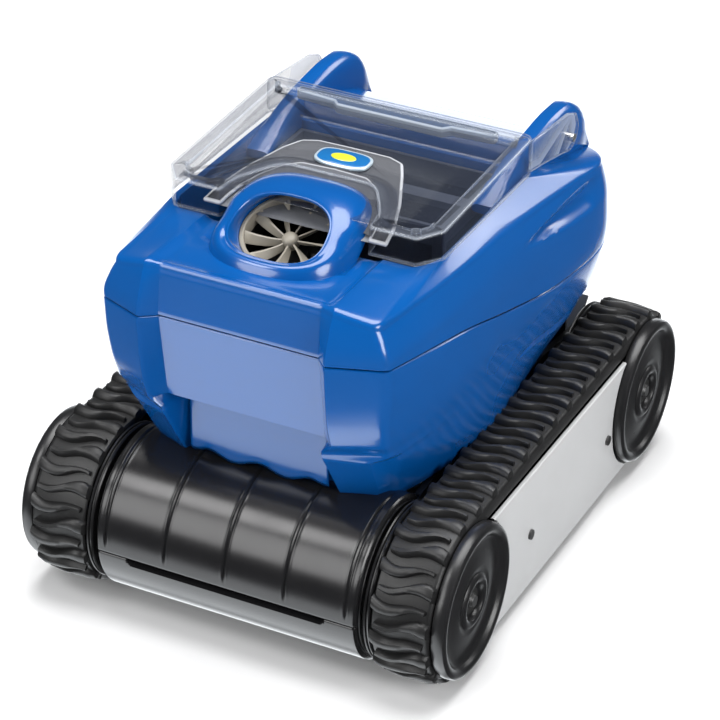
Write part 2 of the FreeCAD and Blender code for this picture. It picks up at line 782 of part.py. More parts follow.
def outlet_grille():
    """Ring, hub and radial ribs across the outlet, with a low flat hub cap."""
    outer = size("outlet_radius") - 0.1
    ring = pump_tube(outer, outer - 2.0, 0.0, 7.0)
    count = int(size("rib_count"))
    centre = pump_axis_point(7.0)
    parts = [pump_tube(6.0, 0.0, 0.0, 7.0)]
    for i in range(count):
        rib = Part.makeBox(outer - 6.0, 1.8, 6.0, V(5.0, -0.9, 0.5))
        rib.rotate(V(0, 0, 0), UP, 360.0 * (i + 0.5) / count)
        rib.rotate(V(0, 0, 0), ALONG_X, size("pump_tilt"))
        rib.translate(centre)
        parts.append(rib)
    return ring.fuse(parts).removeSplitter()


pump_part("outlet_grille", outlet_grille())


def impeller():
    """Axial impeller: hub, pitched blades and the end of its shaft."""
    low = 16.0
    deep = 16.0
    reach = size("outlet_radius") - 1.5
    centre = pump_axis_point(low + deep)
    parts = [pump_tube(3.0, 0.0, low + deep - 1.0, low + deep + 18.0)]
    count = int(size("blade_count"))
    for i in range(count):
        blade = Part.makeBox(reach - 7.0, 16.0, 1.8, V(7.0, -8.0, deep / 2 - 0.9))
        blade.rotate(V(0, 0, deep / 2), ALONG_X, 35.0)
        blade = blade.common(Part.makeCylinder(reach, 40.0, V(0, 0, -10.0), UP))
        blade.rotate(V(0, 0, 0), UP, 360.0 * i / count)
        blade.rotate(V(0, 0, 0), ALONG_X, size("pump_tilt"))
        blade.translate(centre)
        parts.append(blade)
    return pump_tube(9.0, 0.0, low, low + deep).fuse(parts).removeSplitter()


pump_part("impeller", impeller())
POD_TOP = size("duct_long") + 2.0
pod_end = POD_TOP + size("pod_long")
pod = size("pod_radius")
pump_part("pump_housing", pump_tube(pod, pod - 2.5, POD_TOP, pod_end))
pump_part("pump_housing_cap", pump_tube(pod, 0.0, pod_end + 0.1, pod_end + 3.1))
pump_part("pump_seal", pump_tube(pod - 2.6, 3.05, POD_TOP, POD_TOP + 3.0))
pump_part("pump_motor", pump_tube(pod - 3.5, 3.05, POD_TOP + 4.0, pod_end - 2.0))


def pump_bracket():
    """Two arms from the housing down to the canister seat and three struts that carry the duct."""
    low = size("can_floor") - 4.0
    arms = []
    for side in (-1, 1):
        x = side * (pod + 4.0)
        arm = profile_x([(-96, low), (-60, low), (-66, 214), (-98, 226)], min(x - 3, x + 3), max(x + 3, x))
        arms.append(arm.cut(pump_tube(pod + 0.1, 0.0, -20.0, 300.0)))
    duct = size("outlet_radius") + size("duct_wall")
    for side in (-1, 1):
        x_low = side * (pod + 4.0)
        strut = profile_x([(-112, 226), (-66, 214), (-84, 246), (-112, 238)], min(x_low, x_low + 3 * side),
                          max(x_low, x_low + 3 * side))
        arms.append(strut.cut(pump_tube(duct + 0.1, 0.0, -20.0, size("duct_long") + 0.1)))
    return arms


def joined(solids):
    """One solid out of pieces that meet."""
    first = solids[0]
    for other in solids[1:]:
        first = first.fuse(other)
    return first.removeSplitter()


pump_part("pump_bracket_right", joined(pump_bracket()[1::2]))
pump_part("pump_bracket_left", joined(pump_bracket()[0::2]))

# ---------------------------------------------------------------- canister seat, canister and flap
seat_outer = box("seat_outer", "- tub_half + 4", "- 92", "can_floor - 9", "tub_half * 2 - 8", "168", "5")
seat_hole = box("seat_hole", "- mouth_wide / 2 - wall", "- mouth_long / 2 - wall", "can_floor - 20",
                "mouth_wide + wall * 2", "mouth_long + wall * 2", "40")
node(cut("canister_seat", seat_outer, seat_hole), "canister_seat")


def canister_frame():
    """Open frame: a base with a mouth, four corner posts and a top rim."""
    half = size("can_half")
    front = size("can_front")
    long = size("can_long")
    low = size("can_floor")
    high = size("can_top")
    post = size("post")
    block = Part.makeBox(2 * half, long, high - low, V(-half, front, low))
    inside = Part.makeBox(2 * half - 6, long - 6, high, V(-half + 3, front + 3, low + 4))
    block = block.cut(inside)
    side_window = Part.makeBox(4 * half, long - 2 * post, high - low - 28, V(-2 * half, front + post, low + 14))
    end_window = Part.makeBox(2 * half - 2 * post, 4 * long, high - low - 28, V(-half + post, front - long, low + 14))
    mouth = Part.makeBox(size("mouth_wide") - 8, size("mouth_long") - 4, 20,
                         V(-size("mouth_wide") / 2 + 4, -size("mouth_long") / 2 + 2, low - 8))
    return block.cut(side_window).cut(end_window).cut(mouth)


def canister_mesh():
    """Four fine filter panels set in the frame's windows."""
    half = size("can_half")
    front = size("can_front")
    long = size("can_long")
    low = size("can_floor") + 14
    high = size("can_top") - 14
    thick = size("mesh")
    post = size("post")
    panels = []
    for side in (-1, 1):
        x = side * (half - 2) - thick / 2
        panels.append(Part.makeBox(thick, long - 2 * post, high - low, V(x, front + post, low)))
        y = front + long / 2 + side * (long / 2 - 2) - thick / 2
        panels.append(Part.makeBox(2 * half - 2 * post, thick, high - low, V(-half + post, y, low)))
    return Part.makeCompound(panels)


def canister_handle():
    """Grab bar across the canister's open top."""
    half = size("can_half") - 3.2
    high = size("can_top")
    bar = Part.makeBox(2 * half, 12, 5, V(-half, size("can_front") + size("can_long") / 2 - 6, high - 7))
    return bar


node(shaped("canister_frame", canister_frame()), "canister_frame")
node(shaped("canister_mesh", canister_mesh()), "canister_mesh")
node(shaped("canister_handle", canister_handle()), "canister_handle")

FLAP_Z = size("can_floor") + 6.0


def intake_flap():
    """Hinged flap that lies over the canister's mouth, with its knuckle along the far edge."""
    wide = size("mouth_wide") - 4
    edge = size("mouth_long") / 2 + 2
    leaf = Part.makeBox(wide, 2 * edge, 1.6, V(-wide / 2, -edge, size("can_floor") + 4.3))
    knuckle = Part.makeCylinder(1.7, wide, V(-wide / 2, edge, FLAP_Z), ALONG_X)
    return leaf.fuse(knuckle).removeSplitter()


node(shaped("intake_flap", intake_flap()), "intake_flap")
node(box("float_block", "- 68", "62", "150", "136", "78", "70"), "float_block")
node(box("control_box", "- 60", "30", "tub_floor + wall + 2", "120", "52", "60"), "control_box")

# ---------------------------------------------------------------- cable gland at the far end of the hood
gland = new_body("cable_gland")
gland_face = sketch_on(gland, "gland_section", "XZ_Plane")
circle(gland_face, "9 - 0.1")
circle(gland_face, "4")
pad(gland, gland_face, "22")
gland.Placement = FreeCAD.Placement(V(0, 186, GLAND_Z), FreeCAD.Rotation())
node(gland, "cable_gland")


# ---------------------------------------------------------------- lid
def lid_outline(inset):
    """Plan of the lid: straight sides, a bevelled front corner and a bay round the outlet."""
    half = size("lid_half") - inset
    front = size("lid_front") + inset
    rear = size("lid_rear") - inset
    bay = [(54 + inset, front), (50 + inset, -92), (31 + inset, -62 + inset)]
    right = [(half - 12, front), (half, front + 18), (half, rear)]
    corners = bay[::-1] + right
    return corners + [(-x, y) for x, y in corners[::-1]]


def lid_slab(inset, drop):
    """The space under the lid's sloping top."""
    low = size("lid_seat") + (0.0 if inset == 0 else -5.0)
    front_top = size("lid_front_top") - drop
    rear_top = size("lid_rear_top") - drop
    body = profile_z(lid_outline(inset), low, 320.0)
    under = profile_x([(-140, 200), (-140, front_top - 6), (size("lid_front"), front_top), (size("lid_rear"), rear_top),
                       (80, rear_top), (80, 200)], -200, 200)
    return body.common(under)


def lid_window():
    """Clear cover: sloping top, side walls and two straps that run back to the pivots."""
    skin = size("lid_skin")
    shell_shape = lid_slab(0.0, 0.0).cut(lid_slab(skin, skin))
    half = size("lid_half")
    straps = []
    for side in (-1, 1):
        x = side * (half - 1.25)
        strap = profile_x([(40, 276), (40, 292), (78, 290), (size("pivot_y"), 277), (size("pivot_y") + 7, 272),
                           (size("pivot_y") + 7, 263), (size("pivot_y") - 6, 261), (70, 270)], x - 1.25, x + 1.25)
        straps.append(strap)
    shell_shape = shell_shape.fuse(straps)
    bore = Part.makeCylinder(size("pin_radius") + size("run_fit"), 300, V(-150, size("pivot_y"), size("pivot_z")),
                             ALONG_X)
    pod_gaps = [Part.makeBox(21, 12, 30, V(x, size("lid_rear") - 6, 255)) for x in (-95.5, 74.5)]
    return shell_shape.cut(bore).cut(pod_gaps)


def lid_trim():
    """Raised arch on the lid, round the outlet's rear half, that is also its handle."""
    outer = [(66, -113), (61, -88), (40, -34), (30, -26)]
    inner = [(53, -113), (49, -91), (30, -61), (22, -54)]
    corners = [(-x, y) for x, y in outer] + outer[::-1] + inner + [(-x, y) for x, y in inner[::-1]]
    block = profile_z(corners, 280.0, 320.0)
    front_top = size("lid_front_top")
    slope = (size("lid_rear_top") - front_top) / (size("lid_rear") - size("lid_front"))
    low_rear = front_top + slope * 120 + 0.05
    under = profile_x([(-130, front_top - slope * 16 + 0.05), (6, low_rear), (6, low_rear + 2.4),
                       (-130, front_top - slope * 16 + 2.45)], -200, 200)
    return block.common(under)


def lid_emblem():
    """Plain raised lozenge on the arch."""
    front_top = size("lid_front_top")
    slope = (size("lid_rear_top") - front_top) / (size("lid_rear") - size("lid_front"))
    height = front_top + slope * (-35 - size("lid_front")) + 2.5
    plate_shape = profile_z([(-20, -49), (-14, -35), (14, -35), (20, -49), (14, -53), (-14, -53)], height, height + 1.6)
    return plate_shape


node(shaped("lid_window", lid_window()), "lid_window")
node(shaped("lid_trim", lid_trim()), "lid_trim")
node(shaped("lid_emblem", lid_emblem()), "lid_emblem")
node(shaped("lid_rear_bar", Part.makeBox(148, 7, 8, V(-74, size("lid_rear") - 12, size("lid_rear_top") - 11.2))),
     "lid_rear_bar")


def lid_pins():
    """Two pivot pins that stand out of the ear pods."""
    return Part.makeCompound([Part.makeCylinder(size("pin_radius"), 7.0, V(side * 94, size("pivot_y"), size("pivot_z")),
                                                V(side, 0, 0)) for _, side in SIDES])


node(shaped("lid_pins", lid_pins()), "lid_pins")


# ---------------------------------------------------------------- check every object and write the nodes
DOC.recompute()


def check_and_export():
    for thing in DOC.Objects:
        if "Invalid" in thing.State or "Error" in thing.State:
            raise RuntimeError("failed: %s %s" % (thing.Name, thing.State))
    os.makedirs("parts", exist_ok=True)
    for name, thing in NODES:
        shape = thing.Shape
        if shape.isNull() or not shape.isValid():
            raise RuntimeError("bad shape: " + name)
        print("%-22s solids %2d  volume %9.1f  z %6.1f to %6.1f" % (
            name, len(shape.Solids), shape.Volume, shape.BoundBox.ZMin, shape.BoundBox.ZMax))
        shape.exportStep("parts/%s.step" % name)


check_and_export()
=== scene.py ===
# %% [markdown]
# # A tracked pool cleaning robot, from frame to finished picture
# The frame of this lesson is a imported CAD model: its wheels, belts, shells and joints are already in
# their places, in metres. Here every surface that shows gets its real form and finish. Each piece is
# explained first, in words for a reader who is learning Blender, and then made in short cells.

# %% Load the frame and keep its box
import math

import bmesh
import bpy
import numpy as np
from mathutils import Matrix, Vector


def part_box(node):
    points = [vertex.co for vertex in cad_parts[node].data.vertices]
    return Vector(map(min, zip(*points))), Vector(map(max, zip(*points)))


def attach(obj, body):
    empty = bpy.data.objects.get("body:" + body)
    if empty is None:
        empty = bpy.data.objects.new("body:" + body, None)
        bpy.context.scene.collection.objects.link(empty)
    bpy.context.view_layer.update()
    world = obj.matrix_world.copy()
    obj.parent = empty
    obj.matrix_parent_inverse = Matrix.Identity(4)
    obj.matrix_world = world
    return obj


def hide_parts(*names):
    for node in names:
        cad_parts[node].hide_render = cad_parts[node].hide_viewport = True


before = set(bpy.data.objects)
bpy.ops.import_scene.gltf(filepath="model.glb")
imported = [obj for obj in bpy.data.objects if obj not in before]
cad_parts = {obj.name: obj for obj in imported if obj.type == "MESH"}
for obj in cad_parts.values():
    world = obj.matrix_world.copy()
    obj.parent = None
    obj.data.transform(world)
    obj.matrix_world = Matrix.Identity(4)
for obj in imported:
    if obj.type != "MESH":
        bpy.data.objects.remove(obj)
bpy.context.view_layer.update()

print("nodes:", len(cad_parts))

# %% [markdown]
# ## Working units and places
# Mouldings are drawn in millimetres, so the formulas below are in millimetres and one helper turns
# them into Blender's metres at the end. Places come from the boxes of the CAD nodes, so that a wheel,
# a belt or a lid made here sits exactly where the moving model has it.

# %% Places read from the frame
MM = 0.001


def place(node):
    """Lowest and highest corner of a node, in millimetres."""
    low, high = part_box(node)
    return np.array(low) / MM, np.array(high) / MM


wheel_low, wheel_high = place("wheel_near_right")
belt_low, belt_high = place("belt_right")
LID_FRONT = place("lid_window")[0][1]
AXLE_Z = (wheel_low[2] + wheel_high[2]) / 2
AXLE_Y = -(wheel_low[1] + wheel_high[1]) / 2
TREAD = belt_high[2] - AXLE_Z
BELT_IN = belt_low[0]
BELT_OUT = belt_high[0]
print("axles at y = +-%.1f mm, z = %.1f mm, tread radius %.1f mm" % (AXLE_Y, AXLE_Z, TREAD))

# %% [markdown]
# ## Small mesh helpers
# Nearly every shell of this robot can be described as rows of points: a row runs along the outline,
# and the next row lies a little higher or further in. Two neighbouring rows make a strip of quads.
# Building from rows keeps the edges of a moulding exactly where the formula puts them, which a
# sculpted or remeshed surface would not.

# %% Helpers that turn rows of points into pieces
def add_object(name, bm, smooth=True, angle=38.0):
    """Make an object from a bmesh, with smooth faces up to an angle."""
    mesh = bpy.data.meshes.new(name)
    bm.normal_update()
    bm.to_mesh(mesh)
    bm.free()
    if smooth:
        mesh.shade_smooth()
        mesh.set_sharp_from_angle(angle=math.radians(angle))
    thing = bpy.data.objects.new(name, mesh)
    bpy.context.scene.collection.objects.link(thing)
    return thing


def add_rows(bm, rows, closed=True):
    """Add strips of quads between rows of points given in millimetres. Returns the rows of vertices."""
    made = [[bm.verts.new((x * MM, y * MM, z * MM)) for x, y, z in row] for row in rows]
    count = len(made[0])
    last = count if closed else count - 1
    for low, high in zip(made[:-1], made[1:]):
        for i in range(last):
            j = (i + 1) % count
            bm.faces.new((low[i], low[j], high[j], high[i]))
    return made


def cap(bm, verts):
    """Close a loop of vertices with one face."""
    return bm.faces.new(verts)


def clean(bm, outward=True):
    """Merge doubled points and turn the faces outwards."""
    bmesh.ops.remove_doubles(bm, verts=bm.verts[:], dist=0.00002)
    bmesh.ops.dissolve_degenerate(bm, dist=0.00001, edges=bm.edges[:])
    if outward:
        bmesh.ops.recalc_face_normals(bm, faces=bm.faces[:])


def mirrored(bm):
    """Copy everything in the bmesh to the other side of the plane X = 0."""
    both = bmesh.ops.duplicate(bm, geom=bm.verts[:] + bm.edges[:] + bm.faces[:])["geom"]
    for part in both:
        if isinstance(part, bmesh.types.BMVert):
            part.co.x = -part.co.x
    bmesh.ops.reverse_faces(bm, faces=[g for g in both if isinstance(g, bmesh.types.BMFace)])


def turned(bm, section, centre, side=1, steps=96):
    """Turn a section of (x, radius) points about an axle that runs along X."""
    rows = []
    for x, radius in section:
        row = []
        for i in range(steps):
            angle = 2 * math.pi * i / steps
            row.append((side * x, centre[0] + radius * math.cos(angle), centre[1] + radius * math.sin(angle)))
        rows.append(row)
    return add_rows(bm, rows)


def rounded(corners, radii, steps=6):
    """A closed outline with its corners rounded: corners are (x, y) and radii are in the same units."""
    points = []
    count = len(corners)
    for i in range(count):
        here = np.array(corners[i], float)
        back = np.array(corners[i - 1], float) - here
        ahead = np.array(corners[(i + 1) % count], float) - here
        back_long = np.linalg.norm(back)
        ahead_long = np.linalg.norm(ahead)
        back /= back_long
        ahead /= ahead_long
        half = math.acos(max(-1.0, min(1.0, float(back @ ahead)))) / 2
        radius = radii[i]
        reach = min(radius / max(math.tan(half), 1e-6), 0.48 * back_long, 0.48 * ahead_long)
        for k in range(steps + 1):
            t = k / steps
            points.append(tuple(here + back * reach * (1 - t) ** 2 + ahead * reach * t ** 2))
    return points


def offset(points, distance):
    """Move a closed outline that runs counter-clockwise inwards by a distance."""
    spots = np.array(points, float)
    before = np.roll(spots, 1, axis=0)
    after = np.roll(spots, -1, axis=0)
    along = after - before
    along /= np.maximum(np.linalg.norm(along, axis=1, keepdims=True), 1e-9)
    inward = np.stack([-along[:, 1], along[:, 0]], axis=1)
    return [tuple(p) for p in spots + inward * distance]


def curve_through(knots):
    """A smooth function through (input, output) pairs: cubic pieces with no overshoot at the knots."""
    xs = np.array([k[0] for k in knots], float)
    ys = np.array([k[1] for k in knots], float)
    slopes = np.diff(ys) / np.diff(xs)
    tangents = np.zeros(len(xs))
    tangents[0] = slopes[0]
    tangents[-1] = slopes[-1]
    for i in range(1, len(xs) - 1):
        if slopes[i - 1] * slopes[i] > 0:
            tangents[i] = 2 * slopes[i - 1] * slopes[i] / (slopes[i - 1] + slopes[i])

    def value(x):
        x = min(max(x, xs[0]), xs[-1])
        i = min(int(np.searchsorted(xs, x, side="right")) - 1, len(xs) - 2)
        wide = xs[i + 1] - xs[i]
        t = (x - xs[i]) / wide
        return float((2 * t ** 3 - 3 * t ** 2 + 1) * ys[i] + (t ** 3 - 2 * t ** 2 + t) * wide * tangents[i]
                     + (3 * t ** 2 - 2 * t ** 3) * ys[i + 1] + (t ** 3 - t ** 2) * wide * tangents[i + 1])
    return value


def squared(value, power):
    """A cosine or sine pushed outwards, so that a circle turns into a rounded square."""
    return math.copysign(abs(value) ** power, value)


def ease(low, high, x):
    """0 below low, 1 above high, smooth between."""
    t = min(max((x - low) / (high - low), 0.0), 1.0)
    return t * t * (3 - 2 * t)


def mix(a, b, t):
    """a at t = 0 and b at t = 1."""
    return a + (b - a) * t


# %% [markdown]
# ## A helper for node trees
# Materials, the room's light and the Geometry Nodes trees are all made of nodes. Each node needs the
# same three steps: add it, set its own options, and give each input a value or a link. Two short
# functions do that, so that a tree reads as a list of its nodes.

# %% Helpers that add and feed nodes
def feed(tree, node, given):
    """Give each named input of a node a value, or link it to another node's output."""
    for socket, value in given.items():
        if isinstance(value, bpy.types.NodeSocket):
            tree.links.new(value, node.inputs[socket])
        else:
            node.inputs[socket].default_value = value


def put(tree, kind, given=None, **options):
    """Add a node, set its options and feed its inputs."""
    node = tree.nodes.new(kind)
    for option, value in options.items():
        setattr(node, option, value)
    feed(tree, node, given or {})
    return node


def new_paint(name):
    """A material and its node tree."""
    paint = bpy.data.materials.new(name)
    paint.use_nodes = True
    return paint, paint.node_tree


print("node helpers are ready")

# %% [markdown]
# ## The view, the floor and the light
# A product like this is shown from a little above eye level, on a pale floor, with light so soft that
# the glossy shell shows long gentle reflections and no hard spots. Five large area lights do this: one
# above, two from the front left, one on the right and a weak one behind on the right. The camera is a
# long lens far away, which keeps the far wheel nearly as large as the near one.

# %% Camera
def look_from(spot, azimuth, elevation, roll, lens):
    """A camera at a place in metres. Its angles are in degrees."""
    a = math.radians(azimuth)
    e = math.radians(elevation)
    r = math.radians(roll)
    right = Vector((math.cos(a), math.sin(a), 0))
    back = Vector((math.sin(a) * math.cos(e), -math.cos(a) * math.cos(e), math.sin(e)))
    up = back.cross(right)
    tilted_right = right * math.cos(r) + up * math.sin(r)
    tilted_up = up * math.cos(r) - right * math.sin(r)
    camera = bpy.data.objects.new("camera", bpy.data.cameras.new("camera"))
    bpy.context.scene.collection.objects.link(camera)
    turn = Matrix((tilted_right, tilted_up, back)).transposed()
    camera.matrix_world = Matrix.Translation(Vector(spot)) @ turn.to_4x4()
    camera.data.lens = lens
    camera.data.sensor_width = 36.0
    bpy.context.scene.camera = camera
    return camera


camera = look_from((0.76645, -1.61696, 1.16194), azimuth=25.49, elevation=30.22, roll=1.604, lens=150.0)
print("camera is %.2f m from the robot" % camera.location.length)


# %% Floor, lights and the pale room
def soft_light(name, spot, aim, wide, watts):
    """A round area light, of a size in metres, that faces a point."""
    lamp = bpy.data.lights.new(name, "AREA")
    lamp.shape = "DISK"
    lamp.size = wide
    lamp.energy = watts
    thing = bpy.data.objects.new(name, lamp)
    thing.location = spot
    thing.rotation_euler = (Vector(aim) - Vector(spot)).to_track_quat("-Z", "Y").to_euler()
    bpy.context.scene.collection.objects.link(thing)


def pale_floor(half=14.0, glow_from=0.7, glow_full=3.2):
    """A pale floor that glows far from the lamps, where they no longer reach it."""
    bm = bmesh.new()
    corners = ((-half, -half, 0), (half, -half, 0), (half, half, 0), (-half, half, 0))
    bm.faces.new([bm.verts.new(corner) for corner in corners])
    floor = add_object("floor", bm, smooth=False)
    paint, tree = new_paint("studio_floor")
    spot = put(tree, "ShaderNodeTexCoord").outputs["Object"]
    away = put(tree, "ShaderNodeVectorMath", {0: spot}, operation="LENGTH")
    far = put(tree, "ShaderNodeMapRange", {"From Min": glow_from, "From Max": glow_full, "To Max": 0.95,
                                           "Value": away.outputs["Value"]}, interpolation_type="SMOOTHSTEP")
    feed(tree, tree.nodes["Principled BSDF"], {
        "Base Color": (0.92, 0.92, 0.925, 1), "Roughness": 0.13,
        "Emission Color": (1, 1, 1, 1), "Emission Strength": far.outputs["Result"]})
    floor.data.materials.append(paint)
    floor.visible_glossy = False


pale_floor()


def pale_room(base, glows):
    """A dim room that is brighter where the white table stands: a glow is aim, start, full, strength."""
    room = bpy.data.worlds.new("pale_room")
    room.use_nodes = True
    tree = room.node_tree
    way = put(tree, "ShaderNodeTexCoord").outputs["Generated"]
    total = base
    for aim, start, full, strength in glows:
        dot = put(tree, "ShaderNodeVectorMath", {0: way, 1: Vector(aim).normalized()},
                  operation="DOT_PRODUCT")
        ramp = put(tree, "ShaderNodeMapRange", {"From Min": start, "From Max": full, "To Max": strength,
                                                "Value": dot.outputs["Value"]},
                                                interpolation_type="SMOOTHSTEP")
        total = put(tree, "ShaderNodeMath", {0: ramp.outputs["Result"], 1: total}).outputs["Value"]
    feed(tree, tree.nodes["Background"], {"Color": (0.93, 0.97, 1.0, 1), "Strength": total})
    bpy.context.scene.world = room


TABLE_IN_FRONT = ((-0.30, -0.40, -0.87), 0.785, 0.86, 2.9)
TABLE_BEHIND = ((-0.42, 0.76, -0.50), 0.74, 0.95, 2.6)
pale_room(0.05, (TABLE_IN_FRONT, TABLE_BEHIND))
bpy.context.scene.view_settings.view_transform = "Standard"
soft_light("light_above", (0.0, 0.35, 2.5), (0, 0.1, 0.0), 2.2, 90)
soft_light("light_ridge", (-0.95, -1.25, 1.95), (0, 0, 0.15), 0.8, 15)
soft_light("light_front", (-0.98, -2.25, 1.15), (0, 0, 0.1), 1.5, 30)
soft_light("light_rear_right", (1.25, 2.0, 0.95), (0, 0, 0.2), 0.7, 7)
soft_light("light_side", (2.3, -0.7, 1.1), (0, 0, 0.15), 1.4, 44)
print("floor, room and five lights are up")

# %% [markdown]
# ## Finishes
# The robot is almost wholly injection-moulded plastic, and plastics differ mostly in gloss and in the
# fine texture that the mould left. One helper builds every finish from three kinds of noise on Object
# coordinates: a broad one that shifts the colour a little, a middle one that changes the gloss as
# fingers and water marks do, and a fine one that raises the surface by a few hundredths of a
# millimetre. Numbers that are the same everywhere are typed straight into the shader's sockets.

# %% One helper for every moulded finish
def moulded(name, colour, rough, shift=0.06, gloss_change=0.06, grain=900.0, bump=0.05, metal=0.0,
            coat=0.0, marks=18.0):
    """A finish with slight changes of colour, gloss and relief."""
    paint, tree = new_paint(name)
    spot = put(tree, "ShaderNodeTexCoord").outputs["Object"]

    def noise(scale, detail):
        return put(tree, "ShaderNodeTexNoise", {"Scale": scale, "Detail": detail,
                                                "Vector": spot}).outputs["Fac"]

    tone = put(tree, "ShaderNodeValToRGB", {"Fac": noise(marks, 4.0)})
    for stop, position, change in zip(tone.color_ramp.elements, (0.3, 0.7), (1 - shift, 1 + shift)):
        stop.position = position
        stop.color = tuple(min(c * change, 1.0) for c in colour) + (1,)
    gloss = put(tree, "ShaderNodeMapRange", {"To Min": max(rough - gloss_change, 0.02),
                                             "To Max": rough + gloss_change,
                                             "Value": noise(marks * 2.3, 6.0)})
    relief = put(tree, "ShaderNodeBump", {"Strength": bump, "Distance": 0.0004, "Height": noise(grain, 3.0)})
    feed(tree, tree.nodes["Principled BSDF"], {
        "Base Color": tone.outputs["Color"], "Roughness": gloss.outputs["Result"],
        "Normal": relief.outputs["Normal"],
        "Metallic": metal, "Coat Weight": coat, "Coat Roughness": 0.05})
    return paint


# %% The opaque finishes
FINISH = {
    "hood_blue": moulded("hood_gloss_blue", (0.0006, 0.076, 0.30), 0.20, shift=0.03, gloss_change=0.03,
                         grain=300.0, bump=0.004, coat=0.4, marks=9.0),
    "black_plastic": moulded("moulded_black", (0.012, 0.012, 0.013), 0.33, grain=1500.0, bump=0.08),
    "barrel_black": moulded("barrel_satin_black", (0.010, 0.010, 0.011), 0.24, gloss_change=0.04,
                            grain=1100.0, bump=0.04),
    "wheel_black": moulded("wheel_satin_black", (0.013, 0.013, 0.014), 0.30, grain=1200.0, bump=0.06),
    "belt_rubber": moulded("tread_rubber", (0.011, 0.011, 0.0115), 0.46, shift=0.15, gloss_change=0.09,
                           grain=1700.0, bump=0.16),
    "panel_grey": moulded("guard_light_grey", (0.47, 0.475, 0.48), 0.38, shift=0.02, grain=1600.0, bump=0.05),
    "grille_beige": moulded("grille_warm_grey", (0.27, 0.245, 0.20), 0.42, grain=1400.0, bump=0.06),
    "filter_frame_grey": moulded("filter_slate", (0.045, 0.053, 0.075), 0.42, grain=1300.0, bump=0.07),
    "dark_steel": moulded("screw_dark_steel", (0.10, 0.10, 0.10), 0.42, metal=0.8, grain=2000.0, bump=0.05),
    "steel": moulded("screw_bright_steel", (0.72, 0.71, 0.69), 0.26, metal=1.0, grain=2200.0, bump=0.03,
                     marks=60.0),
    "filter_cloth": moulded("filter_fine_mesh", (0.020, 0.024, 0.034), 0.6, shift=0.3, grain=2600.0,
                            bump=0.7, marks=700.0),
    "motor_metal": moulded("motor_zinc_case", (0.38, 0.39, 0.40), 0.42, metal=1.0, grain=1500.0, bump=0.08),
    "seal_rubber": moulded("seal_soft_black", (0.016, 0.016, 0.016), 0.62, grain=900.0, bump=0.12),
    "brush_rubber": moulded("brush_blade_rubber", (0.020, 0.026, 0.040), 0.55, shift=0.12, grain=1500.0,
                            bump=0.15),
    "float_foam": moulded("float_closed_foam", (0.62, 0.62, 0.60), 0.85, shift=0.08, grain=700.0, bump=0.5),
    "panel_pearl": moulded("latch_pearl_grey", (0.52, 0.54, 0.57), 0.34, shift=0.03, grain=1500.0, bump=0.05),
}
print("finishes:", len(FINISH))


# %% [markdown]
# ### Clear and smoky plastic
# The lid is a clear polycarbonate window and the arch on it is the same plastic tinted grey. Real
# transmission through a thin wall costs many light paths and goes milky in an exported model, so the
# window mixes a glossy coat with plain transparency: more mirror where the wall is seen at a slant
# (Fresnel), and a painted highlight along its moulded edges: there an attribute on the mesh turns the
# colour pale and the plastic less clear.

# %% See-through finishes
def see_through(name, tint, body, highlight_colour, highlight_body, rough=0.06, frost=0.0):
    """Thin clear plastic. body is how much of the tint shows; along edges with the attribute set, a painted
    highlight turns the colour to highlight_colour and the opacity to highlight_body.
    """
    paint, tree = new_paint(name)
    tree.nodes.clear()
    spot = put(tree, "ShaderNodeTexCoord").outputs["Object"]
    haze = put(tree, "ShaderNodeTexNoise", {"Scale": 30.0, "Detail": 5.0, "Vector": spot})
    # painted highlight: the edge attribute, set along moulded edges, blends in a pale colour and more opacity
    edge_highlight = put(tree, "ShaderNodeAttribute", attribute_name="edge").outputs["Fac"]
    colour = put(tree, "ShaderNodeMix", {"A": (*tint, 1), "B": (*highlight_colour, 1), "Factor": edge_highlight},
                 data_type="RGBA")
    gloss = put(tree, "ShaderNodeMapRange", {"To Min": rough, "To Max": rough + 0.05 + frost,
                                             "Value": haze.outputs["Fac"]})
    slant = put(tree, "ShaderNodeLayerWeight", {"Blend": 0.22}).outputs["Fresnel"]
    solid = put(tree, "ShaderNodeMath", {0: edge_highlight, 1: highlight_body - body, 2: body}, operation="MULTIPLY_ADD")
    total = put(tree, "ShaderNodeMath", {0: slant, 1: 0.30, 2: solid.outputs["Value"]},
                operation="MULTIPLY_ADD", use_clamp=True)
    shader = put(tree, "ShaderNodeBsdfPrincipled", {
        "Base Color": colour.outputs["Result"], "Roughness": gloss.outputs["Result"],
        "Alpha": total.outputs["Value"], "IOR": 1.5})
    put(tree, "ShaderNodeOutputMaterial", {"Surface": shader.outputs["BSDF"]})
    return paint


# the third and fourth values are the painted edge highlight: its pale colour and its opacity
FINISH["clear_plastic"] = see_through("clear_window", (0.05, 0.06, 0.09), 0.04, (0.55, 0.60, 0.68), 0.32)
FINISH["smoke_plastic"] = see_through("smoky_arch", (0.13, 0.135, 0.15), 0.66, (0.62, 0.64, 0.68), 0.78,
                                      rough=0.12)
FINISH["frosted_plastic"] = see_through("frosted_bar", (0.09, 0.12, 0.18), 0.55, (0.50, 0.56, 0.64), 0.70,
                                        rough=0.22, frost=0.2)
print("finishes:", len(FINISH))


# %% Helpers that dress a piece and let it ride
def dress(thing, finish):
    """Put one finish on every material slot of an object."""
    paint = FINISH[finish]
    if not thing.material_slots:
        thing.data.materials.append(paint)
    for held in thing.material_slots:
        held.material = paint


def settle(thing, finish, body, node):
    """Dress a new piece, let it ride on its body in place of a CAD node, and say how big it is."""
    dress(thing, finish)
    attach(thing, body)
    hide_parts(node)
    print("%-22s %6d faces" % (thing.name, len(thing.data.polygons)))


print("ready to dress", len(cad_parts), "nodes")

